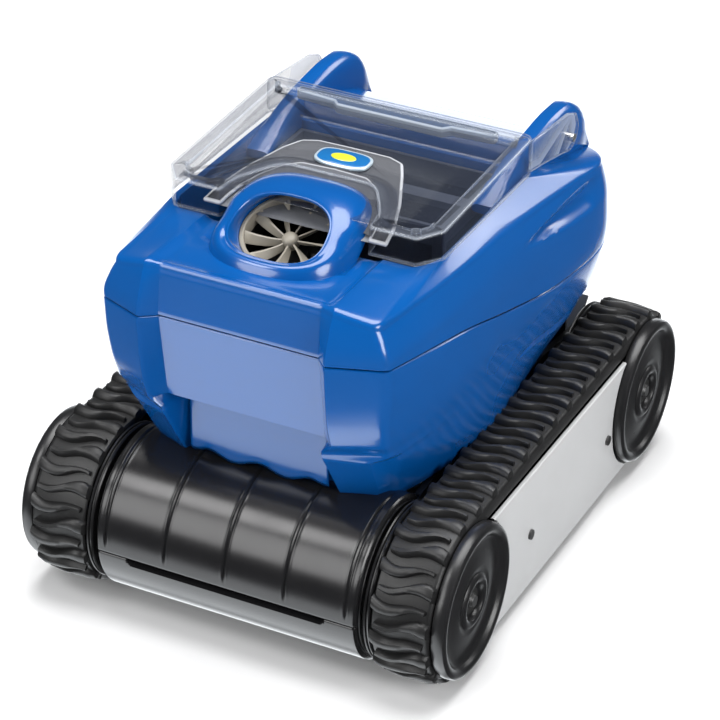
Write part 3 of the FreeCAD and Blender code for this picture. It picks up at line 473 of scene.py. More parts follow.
# %% [markdown]
# ## The blue hood
# The hood is two mouldings that meet on a fine seam: the seam is the widest line of the body, runs
# level across the front and drops towards the rear. A hood like this could be sculpted or built from
# patches. Here it is swept: at every height one outline is known by five numbers (where its front is,
# how wide it is at the front, middle and rear, and where its rear is), and smooth curves through a
# short table of heights give all the outlines between. Front recess, crisp corners and hand grips are
# then part of the outline's own formula, so they stay sharp.

# %% The outline of the hood at any height
front_at = curve_through([(104, -168), (157, -181), (190, -193), (215, -197), (235, -198.6), (256, -193),
                          (270, -186)])
front_half = curve_through([(104, 93), (157, 97), (190, 100), (215, 102), (235, 102), (250, 97.5),
                            (260, 92.5), (270, 89)])
middle_half = curve_through([(104, 108), (157, 111), (190, 113.5), (215, 113), (235, 111), (256, 105.5),
                             (270, 101)])
rear_half = curve_through([(104, 93), (127, 104.5), (140, 110.5), (190, 119), (210, 118), (235, 114.5),
                           (256, 106)])
rear_at = curve_through([(104, 160), (125, 166), (166, 174), (190, 177), (215, 176.5), (240, 170)])
seam_at = curve_through([(-199, 235), (-90, 218), (-15, 198), (55, 183), (120, 177), (182, 190)])
edge_at = curve_through([(-200, 104), (-140, 104.5), (-60, 108), (0, 106), (60, 104), (85, 109), (104, 118),
                         (128, 134), (145, 142), (180, 146)])
crease_at = curve_through([(-200, 158), (-170, 155), (-60, 125), (0, 109), (25, 106), (80, 110), (100, 121),
                           (128, 137), (145, 144), (180, 147)])
ridge_at = curve_through([(-182, 260.5), (-93, 258), (40, 250), (120, 243), (161, 239), (182, 235)])
FACE_SKEW = 0.47           # how far the front faces turn back, per mm of width
MIDDLE_Y = -30.0           # where the sides are at their middle width
STEP_Z = 169.0             # below this height the recess in the front is deeper and narrower
TAIL_TURN = 60.0           # length of the rear corner along the side
TAIL_POWER = 2 / 3.3       # how square that corner is
HOOD_WALL = 2.0


def recess_floor(z):
    """Where the sunken middle of the front lies, and its half width, at one height."""
    if z > STEP_Z:
        deep = np.interp(z, [STEP_Z, 235, 262, 272], [-176.0, -188.0, -186.0, -183.0])
        return deep, 56.5
    return np.interp(z, [104, STEP_Z], [-140.0, -158.5]), 52.0


def side_dent(y, z):
    """How far the hand grip and the slash below it are sunk into the side."""
    sunk = 0.0
    if 0 < y < 128:
        t = y / 128
        middle = mix(235, 226.5, t)
        half = 3.0 + 9.0 * ease(0.0, 0.8, t)
        away = (z - middle) / half
        sunk += 5.0 * ease(0.0, 0.4, t) * max(0.0, 1 - away * away) ** 1.6 * (1 - ease(0.82, 1.0, t))
    if 2 < y < 150:
        t = (y - 2) / 148
        middle = mix(151, 137, ease(0.0, 0.72, t)) + 5 * ease(0.72, 1.0, t)
        half = 2.4 + 6.0 * ease(0.35, 0.85, t)
        away = (z - middle) / half
        sunk += 2.8 * ease(0.0, 0.3, t) * max(0.0, 1 - away * away) ** 2.0 * (1 - ease(0.9, 1.0, t))
    return sunk


# %% The columns of points round half of the outline
def half_columns():
    """Names the parts of the outline from the middle of the front to the middle of the rear."""
    columns = [("floor", t) for t in (0.0, 0.2, 0.4, 0.6, 0.8, 0.96, 1.0)]
    columns += [("wall", t) for t in (0.12, 0.5, 0.88, 0.97)]
    columns += [("face", t) for t in (0.0, 0.08, 0.3, 0.55, 0.8, 0.92, 1.0)]
    columns += [("corner", t) for t in (0.2, 0.4, 0.6, 0.8)]
    columns += [("front_side", t) for t in np.linspace(0.0, 1.0, 30)]
    columns += [("rear_side", t) for t in np.linspace(0.0, 1.0, 64)[1:]]
    columns += [("tail", t) for t in np.linspace(0.0, 1.0, 26)[1:]]
    return columns


COLUMNS = half_columns()


def side_inset(y, z):
    """The facet under the crease leans inwards."""
    drop = max(crease_at(y) - z, 0.0)
    return drop * mix(0.24, 0.42, ease(-20, 60, y))


def outline_point(column, z):
    """Where one column of points meets the outline at one height."""
    kind, t = column
    front = front_at(z) + 0.42 * max(crease_at(-180) - z, 0.0)
    deep, recess_half = recess_floor(z)
    deep = max(deep, front + 0.4)
    edge = mix(56.0, 65.0, ease(160, 171, z)) if z > 160 else 56.0
    if kind == "floor":
        return recess_half * t, deep
    if kind == "wall":
        return mix(recess_half, edge, t), mix(deep, front + 0.8, t)
    half = front_half(z) - side_inset(-165, z)
    knee = np.array([half, front + FACE_SKEW * (half - edge)])
    foot = 1 - ease(154.0, 157.5, z)
    stop = knee - np.array([5.0, 5.0 * FACE_SKEW])
    stop_x = mix(stop[0], min(np.interp(z, [104, 155], [80.0, 84.8]), stop[0]), foot)
    stop = np.array([stop_x, front + FACE_SKEW * (stop_x - edge) * mix(1.0, 0.8, foot)])
    if kind == "face":
        x = mix(edge + 1.2, stop[0], t)
        return x, mix(front, stop[1], t) + 0.25 * FACE_SKEW * math.sin(math.pi * t)
    start_y = knee[1] + mix(5.5, 9.0, foot)
    wide = middle_half(z)
    if kind == "corner":
        after = np.array([half, start_y])
        elbow = knee * (1 - foot) + (stop + after) / 2 * foot
        spot = stop * (1 - t) ** 2 + 2 * t * (1 - t) * elbow + after * t * t
        return spot[0], spot[1]
    if kind == "front_side":
        y = mix(start_y, MIDDLE_Y, t)
        away = 1 - t
        x = wide - (wide - front_half(z)) * away ** 2.2
        return x - side_inset(max(y, -165), z), y
    rear = rear_half(z)
    if kind == "rear_side":
        end = rear_at(z) - TAIL_TURN
        y = mix(MIDDLE_Y, end, t)
        x = mix(wide, rear, ease(0, 1, t) * 0.6 + 0.4 * t)
        return x - side_inset(y, z) - side_dent(y, z), y
    angle = t * math.pi / 2
    x = rear * math.cos(angle) ** TAIL_POWER if t < 1 else 0.0
    y = rear_at(z) - TAIL_TURN + TAIL_TURN * math.sin(angle) ** TAIL_POWER
    sideways = x / rear
    inset = side_inset(y, z)
    return x - (inset + side_dent(y, z)) * sideways, y - inset * (1 - sideways)


def column_y(column):
    """How far back a column stands, read at the height where the hood is widest."""
    return outline_point(column, 190.0)[1]


print("columns on half of the outline:", len(COLUMNS))

# %% [markdown]
# ### The lower moulding
# It hangs below the seam. Its rows run between two curves, the seam above and the cut edge below,
# which rises over the far wheels. Where a row comes within a millimetre of the seam it steps in a
# little: that small rebate is what draws the dark seam line on the finished hood.

# %% Lower moulding
def seam_step(gap):
    """The rebate at a seam, by the distance from it."""
    return 0.9 * (1 - ease(0.0, 1.1, gap))


def pull_in(point, step):
    """Move a point of the outline towards the middle of the hood."""
    x, y = point
    reach = math.hypot(x, y + 20) or 1.0
    return x - x / reach * step, y - (y + 20) / reach * step


def lower_rows(count=56):
    """The rows between the cut edge and the seam, and three more for the rebate."""
    rows = []
    for k in range(count + 3):
        row = []
        for column in COLUMNS:
            y0 = column_y(column)
            low, high = edge_at(y0), seam_at(y0) - 0.25
            t = k / count if k < count else 1.0
            gap = [0.9, 0.45, 0.0][k - count] if k >= count else 2.0
            z = mix(low, high - 1.4, t) if k < count else high - gap
            x, y = pull_in(outline_point(column, z), seam_step(gap))
            row.append((max(x, 0.0), y, z))
        rows.append(row)
    return rows


def inside_wall(thing, thick):
    """Give an open skin its wall thickness, inwards."""
    wall = thing.modifiers.new("wall", "SOLIDIFY")
    wall.thickness = thick * MM
    wall.offset = -1.0
    wall.use_even_offset = False
    return thing


bm = bmesh.new()
add_rows(bm, lower_rows(), closed=False)
mirrored(bm)
clean(bm)
lower = inside_wall(add_object("hood_lower_skin", bm, angle=30.0), HOOD_WALL)
settle(lower, "hood_blue", "chassis", "hood_lower")

# %% [markdown]
# ### The upper moulding
# Above the seam the sides lean in to a soft ridge, then the deck runs to the rim of the filter well
# and turns down into it. The middle strip of the deck lies two and a half millimetres lower than the
# two shoulders beside it, with a crisp step between them.

# %% Upper moulding
WELL = {"front": -113.5, "side": 95.5, "rear": 48.0}
DECK_Z = 268.6


def well_point(column):
    """Where a column of the outline ends on the rim of the well."""
    kind, t = column
    x = outline_point(column, 255.0)[0]
    if kind in ("floor", "wall", "face"):
        return min(x, 84.0), WELL["front"]
    if kind == "corner":
        return mix(84.0, 90.0, t), WELL["front"] + 6 * t
    if kind == "front_side":
        return mix(90.0, WELL["side"], min(t * 6, 1.0)), max(mix(-107.0, MIDDLE_Y, t), WELL["front"])
    if kind == "rear_side":
        return WELL["side"], mix(MIDDLE_Y, 34.0, t)
    angle = t * math.pi / 2
    return WELL["side"] * max(math.cos(angle), 0.0) ** 0.5, mix(34.0, WELL["rear"], ease(0, 0.5, t))


def ridge_of(column):
    """Height of the ridge above one column: it falls from the middle of the front to its corners."""
    kind, t = column
    if kind in ("floor", "wall"):
        return 269.4
    if kind == "face":
        return mix(269.4, 262.0, t)
    if kind == "corner":
        return mix(262.0, 260.5, t)
    return ridge_at(max(column_y(column), -182.0))


def deck_drop(x):
    """The sunken middle strip of the deck, in front of the well."""
    return 2.6 * (1 - ease(60.0, 62.2, abs(x)))


def upper_rows(side_rows=42, deck_rows=20, fillet_rows=5):
    """Rows from the seam up the side, over the ridge, across the deck and down into the well."""
    rows = []
    for k in range(3 + side_rows):
        row = []
        for column in COLUMNS:
            y0 = column_y(column)
            low = seam_at(y0) + 0.25
            high = ridge_of(column) - mix(4.4, 2.2, ease(-190, -120, y0))
            gap = [0.0, 0.45, 0.9][k] if k < 3 else 2.0
            z = low + gap if k < 3 else mix(low + 1.4, high, (k - 3) / (side_rows - 1))
            x, y = pull_in(outline_point(column, z), seam_step(gap))
            row.append((max(x, 0.0), y, z))
        rows.append(row)
    for k in range(1, deck_rows + 1):
        row = []
        for column, start in zip(COLUMNS, rows[side_rows + 2]):
            xw, yw = well_point(column)
            top = ridge_of(column)
            reach = max(math.hypot(start[0] - xw, start[1] - yw), 0.1)
            fillet = min(5.5 / reach, 0.45)
            if k <= fillet_rows:
                u = k / fillet_rows
                s = fillet * u * u
                z = start[2] * (1 - u) ** 2 + 2 * u * (1 - u) * (top - 0.1) + u * u * mix(top, DECK_Z, fillet)
            else:
                s = mix(fillet, 1.0, (k - fillet_rows) / (deck_rows - fillet_rows))
                z = mix(top, DECK_Z, s)
            x, y = mix(start[0], xw, s), mix(start[1], yw, s)
            z -= deck_drop(x) * ease(0.0, 0.12, s) * (1 if start[1] < -100 else 0)
            row.append((max(x, 0.0), y, z))
        rows.append(row)
    rim = rows[-1]
    for inward, drop in ((1.2, 0.5), (2.6, 2.0), (3.2, 5.0), (4.4, 30.0), (5.0, 95.0)):
        row = []
        for x, y, z in rim:
            away = max(abs(x) / WELL["side"], 0.0)
            side_pull = inward if away > 0.97 else inward * 0.3
            end_pull = inward if y < -100 else (-inward if y > 40 else 0.0)
            row.append((max(x - side_pull, 0.0) if x > 1 else 0.0, y + end_pull, z - drop))
        rows.append(row)
    return rows


bm = bmesh.new()
add_rows(bm, upper_rows(), closed=False)
mirrored(bm)
clean(bm)


def under_the_dome(spot):
    """The deck is open where the outlet passes through it."""
    x, y, z = spot / MM
    reach = (121 + y) / 36 if y < -121 else 0.0
    return z > 120 and y < -100 and (abs(x) / 44) ** 2.4 + abs(reach) ** 2.4 < 1


bmesh.ops.delete(bm, geom=[f for f in bm.faces if under_the_dome(f.calc_center_median())], context="FACES")
upper = inside_wall(add_object("hood_upper_skin", bm, angle=30.0), 1.6)
settle(upper, "hood_blue", "chassis", "hood_upper")

# %% [markdown]
# ### The hinge ears and the bar between them
# The lid turns on two long ears at the rear of the deck, tied by a low cross bar. Both are long rounded
# forms, so each is lofted: a section stands across the piece and follows its profile.

# %% Ears and cross bar
def loft(bm, stations, steps=20, power=2.6):
    """A closed rounded bar. A station is (centre x, y, z), half width and half height, seen along Y."""
    rows = []
    for (cx, cy, cz), half_wide, half_high in stations:
        row = []
        for i in range(steps):
            angle = 2 * math.pi * i / steps
            c, s = math.cos(angle), math.sin(angle)
            row.append((cx + half_wide * squared(c, 2 / power), cy,
                        cz + half_high * squared(s, 2 / power)))
        rows.append(row)
    made = add_rows(bm, rows)
    cap(bm, made[0])
    cap(bm, made[-1])


ear_top = curve_through([(-4, 262.5), (10, 268), (40, 279), (70, 284.5), (100, 287), (120, 286), (136, 280),
                         (148, 268), (156, 250), (160, 240)])
bm = bmesh.new()
stations = []
for y in np.linspace(-4, 159, 40):
    top = ear_top(y)
    bottom = min(top - 6, 238.0 if y > 20 else 256.0)
    stations.append(((84.6, y, (top + bottom) / 2), 9.4 - 1.5 * ease(140, 159, y), (top - bottom) / 2))
loft(bm, stations, power=3.4)
mirrored(bm)
bar_rows = []
for x in np.linspace(-78, 78, 30):
    row = [(x, 47, 258), (x, 48.5, 268), (x, 50, 275), (x, 52.5, 279.6), (x, 57, 281), (x, 64, 280.2)]
    row += [(x, y, 281 - (y - 52) * 0.311) for y in (76, 90, 104, 116, 124)]
    row += [(x, 130, 255.6), (x, 138, 250.5), (x, 146, 244), (x, 150, 236)]
    bar_rows.append(row)
add_rows(bm, bar_rows, closed=False)
clean(bm)
ears = add_object("hinge_ears", bm, angle=34.0)
settle(ears, "hood_blue", "chassis", "hood_upper")

# %% [markdown]
# ### The sunken front panel
# Between the two legs of the hood sits a separate panel with a wavy lower edge, set back in a recess.

# %% Front panel
PANEL_HALF = 50.3
PANEL_TOP = 166.5
bm = bmesh.new()
rows = []
for k in range(15):
    t = k / 14
    row = []
    for x in np.linspace(-PANEL_HALF, PANEL_HALF, 61):
        wave = 2.6 * math.cos(abs(x) / PANEL_HALF * 2.6 * math.pi)
        z = mix(119.0 + wave * ease(0, 14, PANEL_HALF - abs(x)), PANEL_TOP, t)
        y = np.interp(z, [108, PANEL_TOP], [-156.4, -159.6]) - 0.8 * (1 - (x / PANEL_HALF) ** 2)
        row.append((x, y + 1.2 * (1 - ease(0.0, 0.08, t)) + 1.2 * ease(0.95, 1.0, t), z))
    rows.append(row)
add_rows(bm, rows, closed=False)
clean(bm, outward=False)
if sum(f.normal.y for f in bm.faces) > 0:
    bmesh.ops.reverse_faces(bm, faces=bm.faces[:])
panel = inside_wall(add_object("front_panel_skin", bm), 2.0)
settle(panel, "hood_blue", "chassis", "front_panel")

# %% [markdown]
# ## The water outlet
# Filtered water leaves through a jet nozzle that leans forwards. Around it the deck swells into a
# low dome with a raised lip; inside, a short wall leads down to a beige grille over the impeller.
# The dome is a loft between two closed outlines: its foot on the deck and the lip on the tilted plane.
# The outlines have the same number of points, so every row between them is a simple mixture.

# %% Dome, lip and inner wall
LEAN = math.radians(23.0)
HUB = np.array([0.0, -118.0, 270.0])
JET = np.array([0.0, -math.sin(LEAN), math.cos(LEAN)])
BACKWARD = np.array([0.0, math.cos(LEAN), math.sin(LEAN)])


def on_jet(u, v, w):
    """A point u to the right, v rearwards in the tilted plane and w along the jet from the hub."""
    return HUB + np.array([u, 0.0, 0.0]) + BACKWARD * v + JET * w


LIP_LEAN = math.radians(28.0)
LIP = np.array([0.0, -131.5, 283.6])
LIP_UP = np.array([0.0, -math.sin(LIP_LEAN), math.cos(LIP_LEAN)])
LIP_BACK = np.array([0.0, math.cos(LIP_LEAN), math.sin(LIP_LEAN)])


def on_lip(angle, grow, rise):
    """A point of the rounded lip, moved outwards and up from it."""
    c, s = math.cos(angle), math.sin(angle)
    power = 2 / 2.6
    u = 32.5 * squared(c, power)
    v = 25.5 * squared(s, power)
    u *= 1 - 0.07 * (v / 25.5)
    scale = 1 + grow / math.hypot(u, v)
    return LIP + np.array([u * scale, 0.0, 0.0]) + LIP_BACK * v * scale + LIP_UP * rise


def foot_outline(angle):
    """Where the dome stands on the deck: a longer curve in front and a squarer one behind."""
    c, s = math.cos(angle), math.sin(angle)
    if s < 0:
        power = 2 / 2.4
        x = 49.0 * squared(c, power)
        y = -121.0 - 45.0 * abs(s) ** power
        return np.array([x, y, mix(DECK_Z, 265.4, ease(112.0, 126.0, -y))])
    power = 2 / 3.0
    x = 48.5 * squared(c, power)
    y = -121.0 + 57.0 * abs(s) ** power
    return np.array([x, y, mix(DECK_Z, 276.0 + (y + 113) * 0.2, ease(-121.0, -108.0, y))])


def dome_rows(steps=112):
    """Rows from the foot over the swell to the lip, then down the inner wall to the grille."""
    angles = [2 * math.pi * i / steps for i in range(steps)]
    feet = [foot_outline(a) for a in angles]
    lips = [on_lip(a, 1.4, -0.9) for a in angles]
    rows = [[f + np.array([0, 0, -3.0]) for f in feet]]
    for s in (0.0, 0.03, 0.08, 0.16, 0.28, 0.4, 0.52, 0.64, 0.76, 0.88, 0.96):
        bulge = 5.0 * math.sin(math.pi * s) ** 0.9
        out = 0.10 * math.sin(math.pi * s)
        rows.append([mix(f, l, s) + np.array([0, 0, bulge]) + (f - l) * np.array([out, out, 0]) for f,
                     l in zip(feet, lips)])
    rows += [[on_lip(a, grow, rise) for a in angles] for grow, rise in
             ((1.0, -0.2), (0.6, 0.1), (0.1, 0.1), (-0.3, -0.3), (-0.6, -1.2))]
    for t in (0.2, 0.5, 0.8, 1.0):
        rows.append([mix(on_lip(a, -1.2, -2.0), on_jet(31.8 * math.cos(a), 31.8 * math.sin(a), 7.0),
                         t) for a in angles])
    rows.append([on_jet(31.8 * math.cos(a), 31.8 * math.sin(a), -8.0) for a in angles])
    return rows


bm = bmesh.new()
add_rows(bm, dome_rows())
clean(bm)
dome = add_object("outlet_dome", bm, angle=40.0)
settle(dome, "hood_blue", "chassis", "outlet_bezel")

# %% [markdown]
# ### The grille
# Nine twisted ribs stand between a small hub and an outer ring. One rib is modelled once; a Geometry
# Nodes tree copies it round the hub and leans the whole ring to the jet. Changing the number of ribs
# is then one number, and every copy keeps exactly the same form.

# %% A node tree that copies one shape round an axis
def new_tree(name, **inputs):
    """An empty tree with named inputs and one geometry result, and the sockets its inputs arrive on."""
    tree = bpy.data.node_groups.new(name, "GeometryNodeTree")
    for label, kind in inputs.items():
        tree.interface.new_socket(label, in_out="INPUT", socket_type="NodeSocket" + kind)
    tree.interface.new_socket("Result", in_out="OUTPUT", socket_type="NodeSocketGeometry")
    return tree, put(tree, "NodeGroupInput").outputs


def real_copies(tree, points, shape, turn):
    """One turned copy of a shape on every point, made real."""
    copies = put(tree, "GeometryNodeInstanceOnPoints", {"Points": points, "Instance": shape,
                                                        "Rotation": turn})
    return put(tree, "GeometryNodeRealizeInstances",
               {"Geometry": copies.outputs["Instances"]}).outputs["Geometry"]


def painted_result(tree, shape, finish):
    paint = put(tree, "GeometryNodeSetMaterial", {"Geometry": shape, "Material": finish})
    put(tree, "NodeGroupOutput", {"Result": paint.outputs["Geometry"]})
    return tree


def round_tree(name):
    """Copies of the incoming mesh round Z, then leaned and put in place."""
    tree, given = new_tree(name, Shape="Geometry", Copies="Int", Lean="Vector", Place="Vector",
                           Finish="Material")
    line = put(tree, "GeometryNodeMeshLine", {"Count": given["Copies"], "Offset": (0, 0, 0)})
    index = put(tree, "GeometryNodeInputIndex").outputs["Index"]
    step = put(tree, "ShaderNodeMath", {0: 2 * math.pi, 1: given["Copies"]}, operation="DIVIDE")
    angle = put(tree, "ShaderNodeMath", {0: index, 1: step.outputs["Value"]}, operation="MULTIPLY")
    turn = put(tree, "ShaderNodeCombineXYZ", {"Z": angle.outputs["Value"]})
    ring = real_copies(tree, line.outputs["Mesh"], given["Shape"], turn.outputs["Vector"])
    lean = put(tree, "GeometryNodeTransform", {"Geometry": ring, "Rotation": given["Lean"],
                                               "Translation": given["Place"]})
    return painted_result(tree, lean.outputs["Geometry"], given["Finish"])


def run_tree(name, seed_thing, tree, settings, angle=38.0):
    """Run a node tree on an object and keep the result as one plain mesh."""
    grown = seed_thing.modifiers.new("grown", "NODES")
    grown.node_group = tree
    sockets = {item.name: item.identifier for item in tree.interface.items_tree if item.in_out == "INPUT"}
    for label, value in settings.items():
        grown[sockets[label]] = value
    ready = seed_thing.evaluated_get(bpy.context.evaluated_depsgraph_get())
    mesh = bpy.data.meshes.new_from_object(ready)
    mesh.shade_smooth()
    mesh.set_sharp_from_angle(angle=math.radians(angle))
    thing = bpy.data.objects.new(name, mesh)
    bpy.context.scene.collection.objects.link(thing)
    bpy.data.objects.remove(seed_thing)
    return thing


round_copies = round_tree("copies_round_an_axis")
print("inputs:", [item.name for item in round_copies.interface.items_tree if item.in_out == "INPUT"])


# %% Ribs, hub and ring of the grille
RIB_COUNT = 9


def rib_seed():
    """One rib in its own frame: outwards along X, its depth along Z, twisted from hub to ring."""
    bm = bmesh.new()
    rows = []
    for k in range(10):
        t = k / 9
        reach = mix(3.5, 29.6, t)
        lean = mix(0.25, 0.95, t)
        sweep = mix(0.0, -3.2, t * t)
        depth = mix(3.6, 7.5, t)
        thick = mix(1.0, 1.5, t)
        rise = mix(-1.5, 5.0, t ** 1.4)
        row = []
        for side, deep in ((-1, 0), (1, 0), (1, 1), (-1, 1)):
            y = sweep + side * thick / 2 * (1 if deep == 0 else 1.6) + deep * depth * math.sin(lean) * 0.9
            row.append((reach, y, rise - deep * depth * math.cos(lean)))
        rows.append(row)
    made = add_rows(bm, rows)
    cap(bm, made[0])
    cap(bm, made[-1])
    clean(bm)
    return add_object("rib_seed", bm)


ribs = run_tree("outlet_ribs", rib_seed(), round_copies,
                {"Copies": RIB_COUNT, "Lean": (LEAN, 0.0, 0.0), "Place": tuple(HUB * MM),
                 "Finish": FINISH["grille_beige"]})
settle(ribs, "grille_beige", "chassis", "outlet_grille")


def about_jet(section, steps=72):
    """Turn (radius, along the jet) points about the jet."""
    rows = []
    for radius, w in section:
        rows.append([on_jet(radius * math.cos(2 * math.pi * i / steps),
                            radius * math.sin(2 * math.pi * i / steps), w)
                     for i in range(steps)])
    return rows


bm = bmesh.new()
ring = [(31.6, 5.8), (31.2, 6.6), (29.6, 6.8), (28.7, 6.2), (28.4, 2.0), (29.2, -5.0), (31.4, -6.5),
        (31.6, 5.8)]
add_rows(bm, about_jet(ring))
hub = [(0.01, 1.6), (3.0, 1.4), (4.6, 0.6), (5.4, -1.0), (5.6, -6.5), (4.6, -7.0), (0.01, -7.0)]
add_rows(bm, about_jet(hub))
clean(bm)
ring = add_object("outlet_ring", bm)
settle(ring, "grille_beige", "chassis", "outlet_grille")

# %% [markdown]
# ## The clear lid
# The lid is one clear moulding over the filter well: a low wall, a raised rim, a window sunk a few
# millimetres below the rim, and two arms back to the hinge pins. It could be cut from a block, but a
# thin moulding is easier as nested outlines: each next outline is the first one moved inwards and up
# or down. The edges carry an attribute that paints a highlight on them, because clear plastic looks
# bright where it is cut or bent.

# %% Outline of the lid, with a bay for the outlet
LID_REAR = 44.3
LID_SIDE = 98.8


def lid_outline():
    """The lid seen from above: a cut-off front corner each side, and a bay that clears the outlet."""
    right = [(53.0, LID_FRONT), (86.5, LID_FRONT), (LID_SIDE, LID_FRONT + 17), (LID_SIDE, LID_REAR)]
    left = [(-x, y) for x, y in reversed(right)]
    bay = [(-50.0, -94.0), (-33.0, -64.0), (33.0, -64.0), (50.0, -94.0)]
    corners = right + left + bay
    radii = [2.5, 3.0, 5.0, 9.0, 9.0, 5.0, 3.0, 2.5, 8.0, 16.0, 16.0, 8.0]
    return rounded(corners, radii, steps=7)


def lid_top(y):
    """Height of the rim, which rises towards the hinge."""
    return 289.6 + (y - LID_FRONT) * 0.0435


def nested(bm, outline, levels, height, highlight_at=None):
    """Outlines moved inwards level by level, with the edge attribute that sets how strong the painted
    highlight is at each point.

    A level is the distance inwards, the rise and the mark, which is the strength of the painted
    highlight. height(y, rise, spot) gives Z, and highlight_at(spot, inward, mark) can change that
    strength at a spot of the first outline.
    """
    # painted highlight: the edge attribute holds how pale and opaque each point of the outline is drawn
    layer = bm.verts.layers.float.new("edge")
    rows = [[(x, y, height(y, rise, spot)) for (x, y), spot in zip(offset(outline, inward), outline)]
            for inward, rise, mark in levels]
    made = add_rows(bm, rows)
    for row, (inward, rise, mark) in zip(made, levels):
        for vert, spot in zip(row, outline):
            vert[layer] = highlight_at(spot, inward, mark) if highlight_at else mark
    return made


# %% The window
FOOT_Z = 269.6             # the lid's lowest edge
FROM_FOOT = -99.0          # a level with this rise lies at the foot, and one with 3 more lies 3 mm above
# a level is the distance inwards, the rise and the strength of the painted edge highlight
WINDOW_LEVELS = [
    (1.2, FROM_FOOT, 0.6), (0.0, FROM_FOOT, 0.5), (0.0, FROM_FOOT + 3, 0.0),
    (0.0, -2.6, 0.0), (0.4, -0.9, 0.8), (1.3, 0.0, 0.8), (2.6, 0.0, 0.2), (9.0, 0.0, 0.1),
    (10.0, -0.2, 0.8), (10.7, -1.2, 0.9), (11.0, -3.4, 0.3), (12.0, -4.0, 0.5), (13.5, -4.2, 0.0)]


def by_outlet(spot):
    """True in the bay round the outlet."""
    return abs(spot[0]) < 58 and spot[1] < -50


def window_height(y, rise, spot):
    """Z of the wall, the rim and the window, which isn't sunk in the bay round the outlet."""
    if rise < -90:
        return FOOT_Z + rise - FROM_FOOT
    return lid_top(y) + (0.0 if rise <= -3 and by_outlet(spot) else rise)


def window_highlight(spot, inward, mark):
    """The painted highlight on the inner step is faint beside the outlet."""
    return mark * (0.15 if by_outlet(spot) and inward > 3 else 1.0)


bm = bmesh.new()
made = nested(bm, lid_outline(), WINDOW_LEVELS, window_height, window_highlight)
cap(bm, made[-1])
bmesh.ops.recalc_face_normals(bm, faces=bm.faces[:])
window = inside_wall(add_object("lid_window_shell", bm, angle=35.0), 1.6)
settle(window, "clear_plastic", "lid", "lid_window")

# %% [markdown]
# ### The arms of the lid
# Each arm is a thin plate that follows the ear of the hood and ends in an eye round the hinge pin.

# %% Arms
def plate(bm, outline_yz, x_low, x_high, edge=0.5, layer=None):
    """A thin plate with softened edges, standing across X, from an outline of (y, z). If an attribute layer is
    given, its rims get a painted highlight.
    """
    spread = [(x_low, edge), (x_low + edge, 0.0), (x_high - edge, 0.0), (x_high, edge)]
    rows = []
    for x, inward in spread:
        rows.append([(x, y, z) for y, z in offset(outline_yz, inward)])
    made = add_rows(bm, rows)
    cap(bm, made[0])
    cap(bm, made[-1])
    # painted highlight: the rims of the plate are set bright in the edge attribute, the middle of each end face
    # clear
    if layer is not None:
        for row, mark in zip(made, (0.9, 0.6, 0.6, 0.9)):
            for vert in row:
                vert[layer] = mark
        for ends in (made[0], made[-1]):
            face = [f for f in ends[0].link_faces if len(f.verts) == len(ends)][0]
            bmesh.ops.inset_region(bm, faces=[face], thickness=1.6 * MM)
            for vert in face.verts:
                vert[layer] = 0.0


arm = [(38, 271.5), (60, 268), (92, 261.5), (108, 257.5), (118, 262), (121, 272), (116, 283), (100, 289),
       (70, 291.5), (38, 294.5)]
arm_outline = rounded(arm, [3, 6, 6, 9, 9, 9, 9, 12, 8, 3], steps=5)
bm = bmesh.new()
# the edge attribute here carries the painted highlight on the arms' rims
arm_highlight_layer = bm.verts.layers.float.new("edge")
plate(bm, arm_outline, 96.7, 98.9, layer=arm_highlight_layer)
mirrored(bm)
clean(bm)
arms = add_object("lid_arms", bm)
settle(arms, "clear_plastic", "lid", "lid_window")

# %% [markdown]
# ### The smoky arch and its badge
# A tinted arch frames the outlet, lies on the slope of the lid and carries a small badge. The badge
# here is a plain blue lozenge with a pale rim and an oval dot: a mark that stands for nobody.

# %% Arch
def arch_height(y):
    """The arch climbs to the crown of the lid, then runs nearly level."""
    return 279.6 + (y + 113) * (12.3 / 62.0) if y < -51 else 291.9 + (y + 51) * 0.055


outer = [(65.8, -113), (63.5, -96), (56, -72), (44, -44), (37, -30), (26, -25.5)]
inner = [(23, -58), (32, -64), (42, -78), (49, -93), (51.5, -104), (52.5, -113)]
half = rounded([(0, -25.0)] + outer[::-1] + inner[::-1] + [(0, -57.0)],
               [1, 6, 6, 14, 20, 10, 1.5, 1.5, 8, 10, 10, 8, 6, 1], steps=5)
arch_outline = [(x, y) for x, y in half if x > 0.05]
arch_outline = arch_outline + [(-x, y) for x, y in reversed(arch_outline)]
if sum(a[0] * b[1] - b[0] * a[1] for a, b in zip(arch_outline, arch_outline[1:] + arch_outline[:1])) < 0:
    arch_outline.reverse()
# a level is the distance inwards, the rise and the strength of the painted edge highlight
ARCH_LEVELS = [(0.4, -2.2, 0.3), (0.0, -1.6, 0.6), (0.0, -0.5, 1.0), (0.5, 0.0, 1.0),
               (1.5, 0.2, 0.9), (2.2, 0.1, 0.0), (3.6, 0.1, 0.0)]
bm = bmesh.new()
made = nested(bm, arch_outline, ARCH_LEVELS, lambda y, rise, spot: arch_height(y) + rise)
cap(bm, made[0])
cap(bm, made[-1])
bmesh.ops.triangulate(bm, faces=[f for f in bm.faces if len(f.verts) > 4])
bmesh.ops.recalc_face_normals(bm, faces=bm.faces[:])
arch = add_object("lid_arch", bm, angle=50.0)
settle(arch, "smoke_plastic", "lid", "lid_trim")


# %% Badge
FINISH["badge_blue"] = moulded("badge_blue_enamel", (0.01, 0.13, 0.36), 0.14, shift=0.02, grain=500.0,
                               bump=0.01, coat=0.7)
FINISH["badge_pale"] = moulded("badge_pale_rim", (0.55, 0.66, 0.74), 0.25, metal=0.4, grain=900.0, bump=0.02)
FINISH["badge_lime"] = moulded("badge_lime_dot", (0.62, 0.68, 0.04), 0.22, shift=0.03, grain=500.0,
                               bump=0.01, coat=0.5)


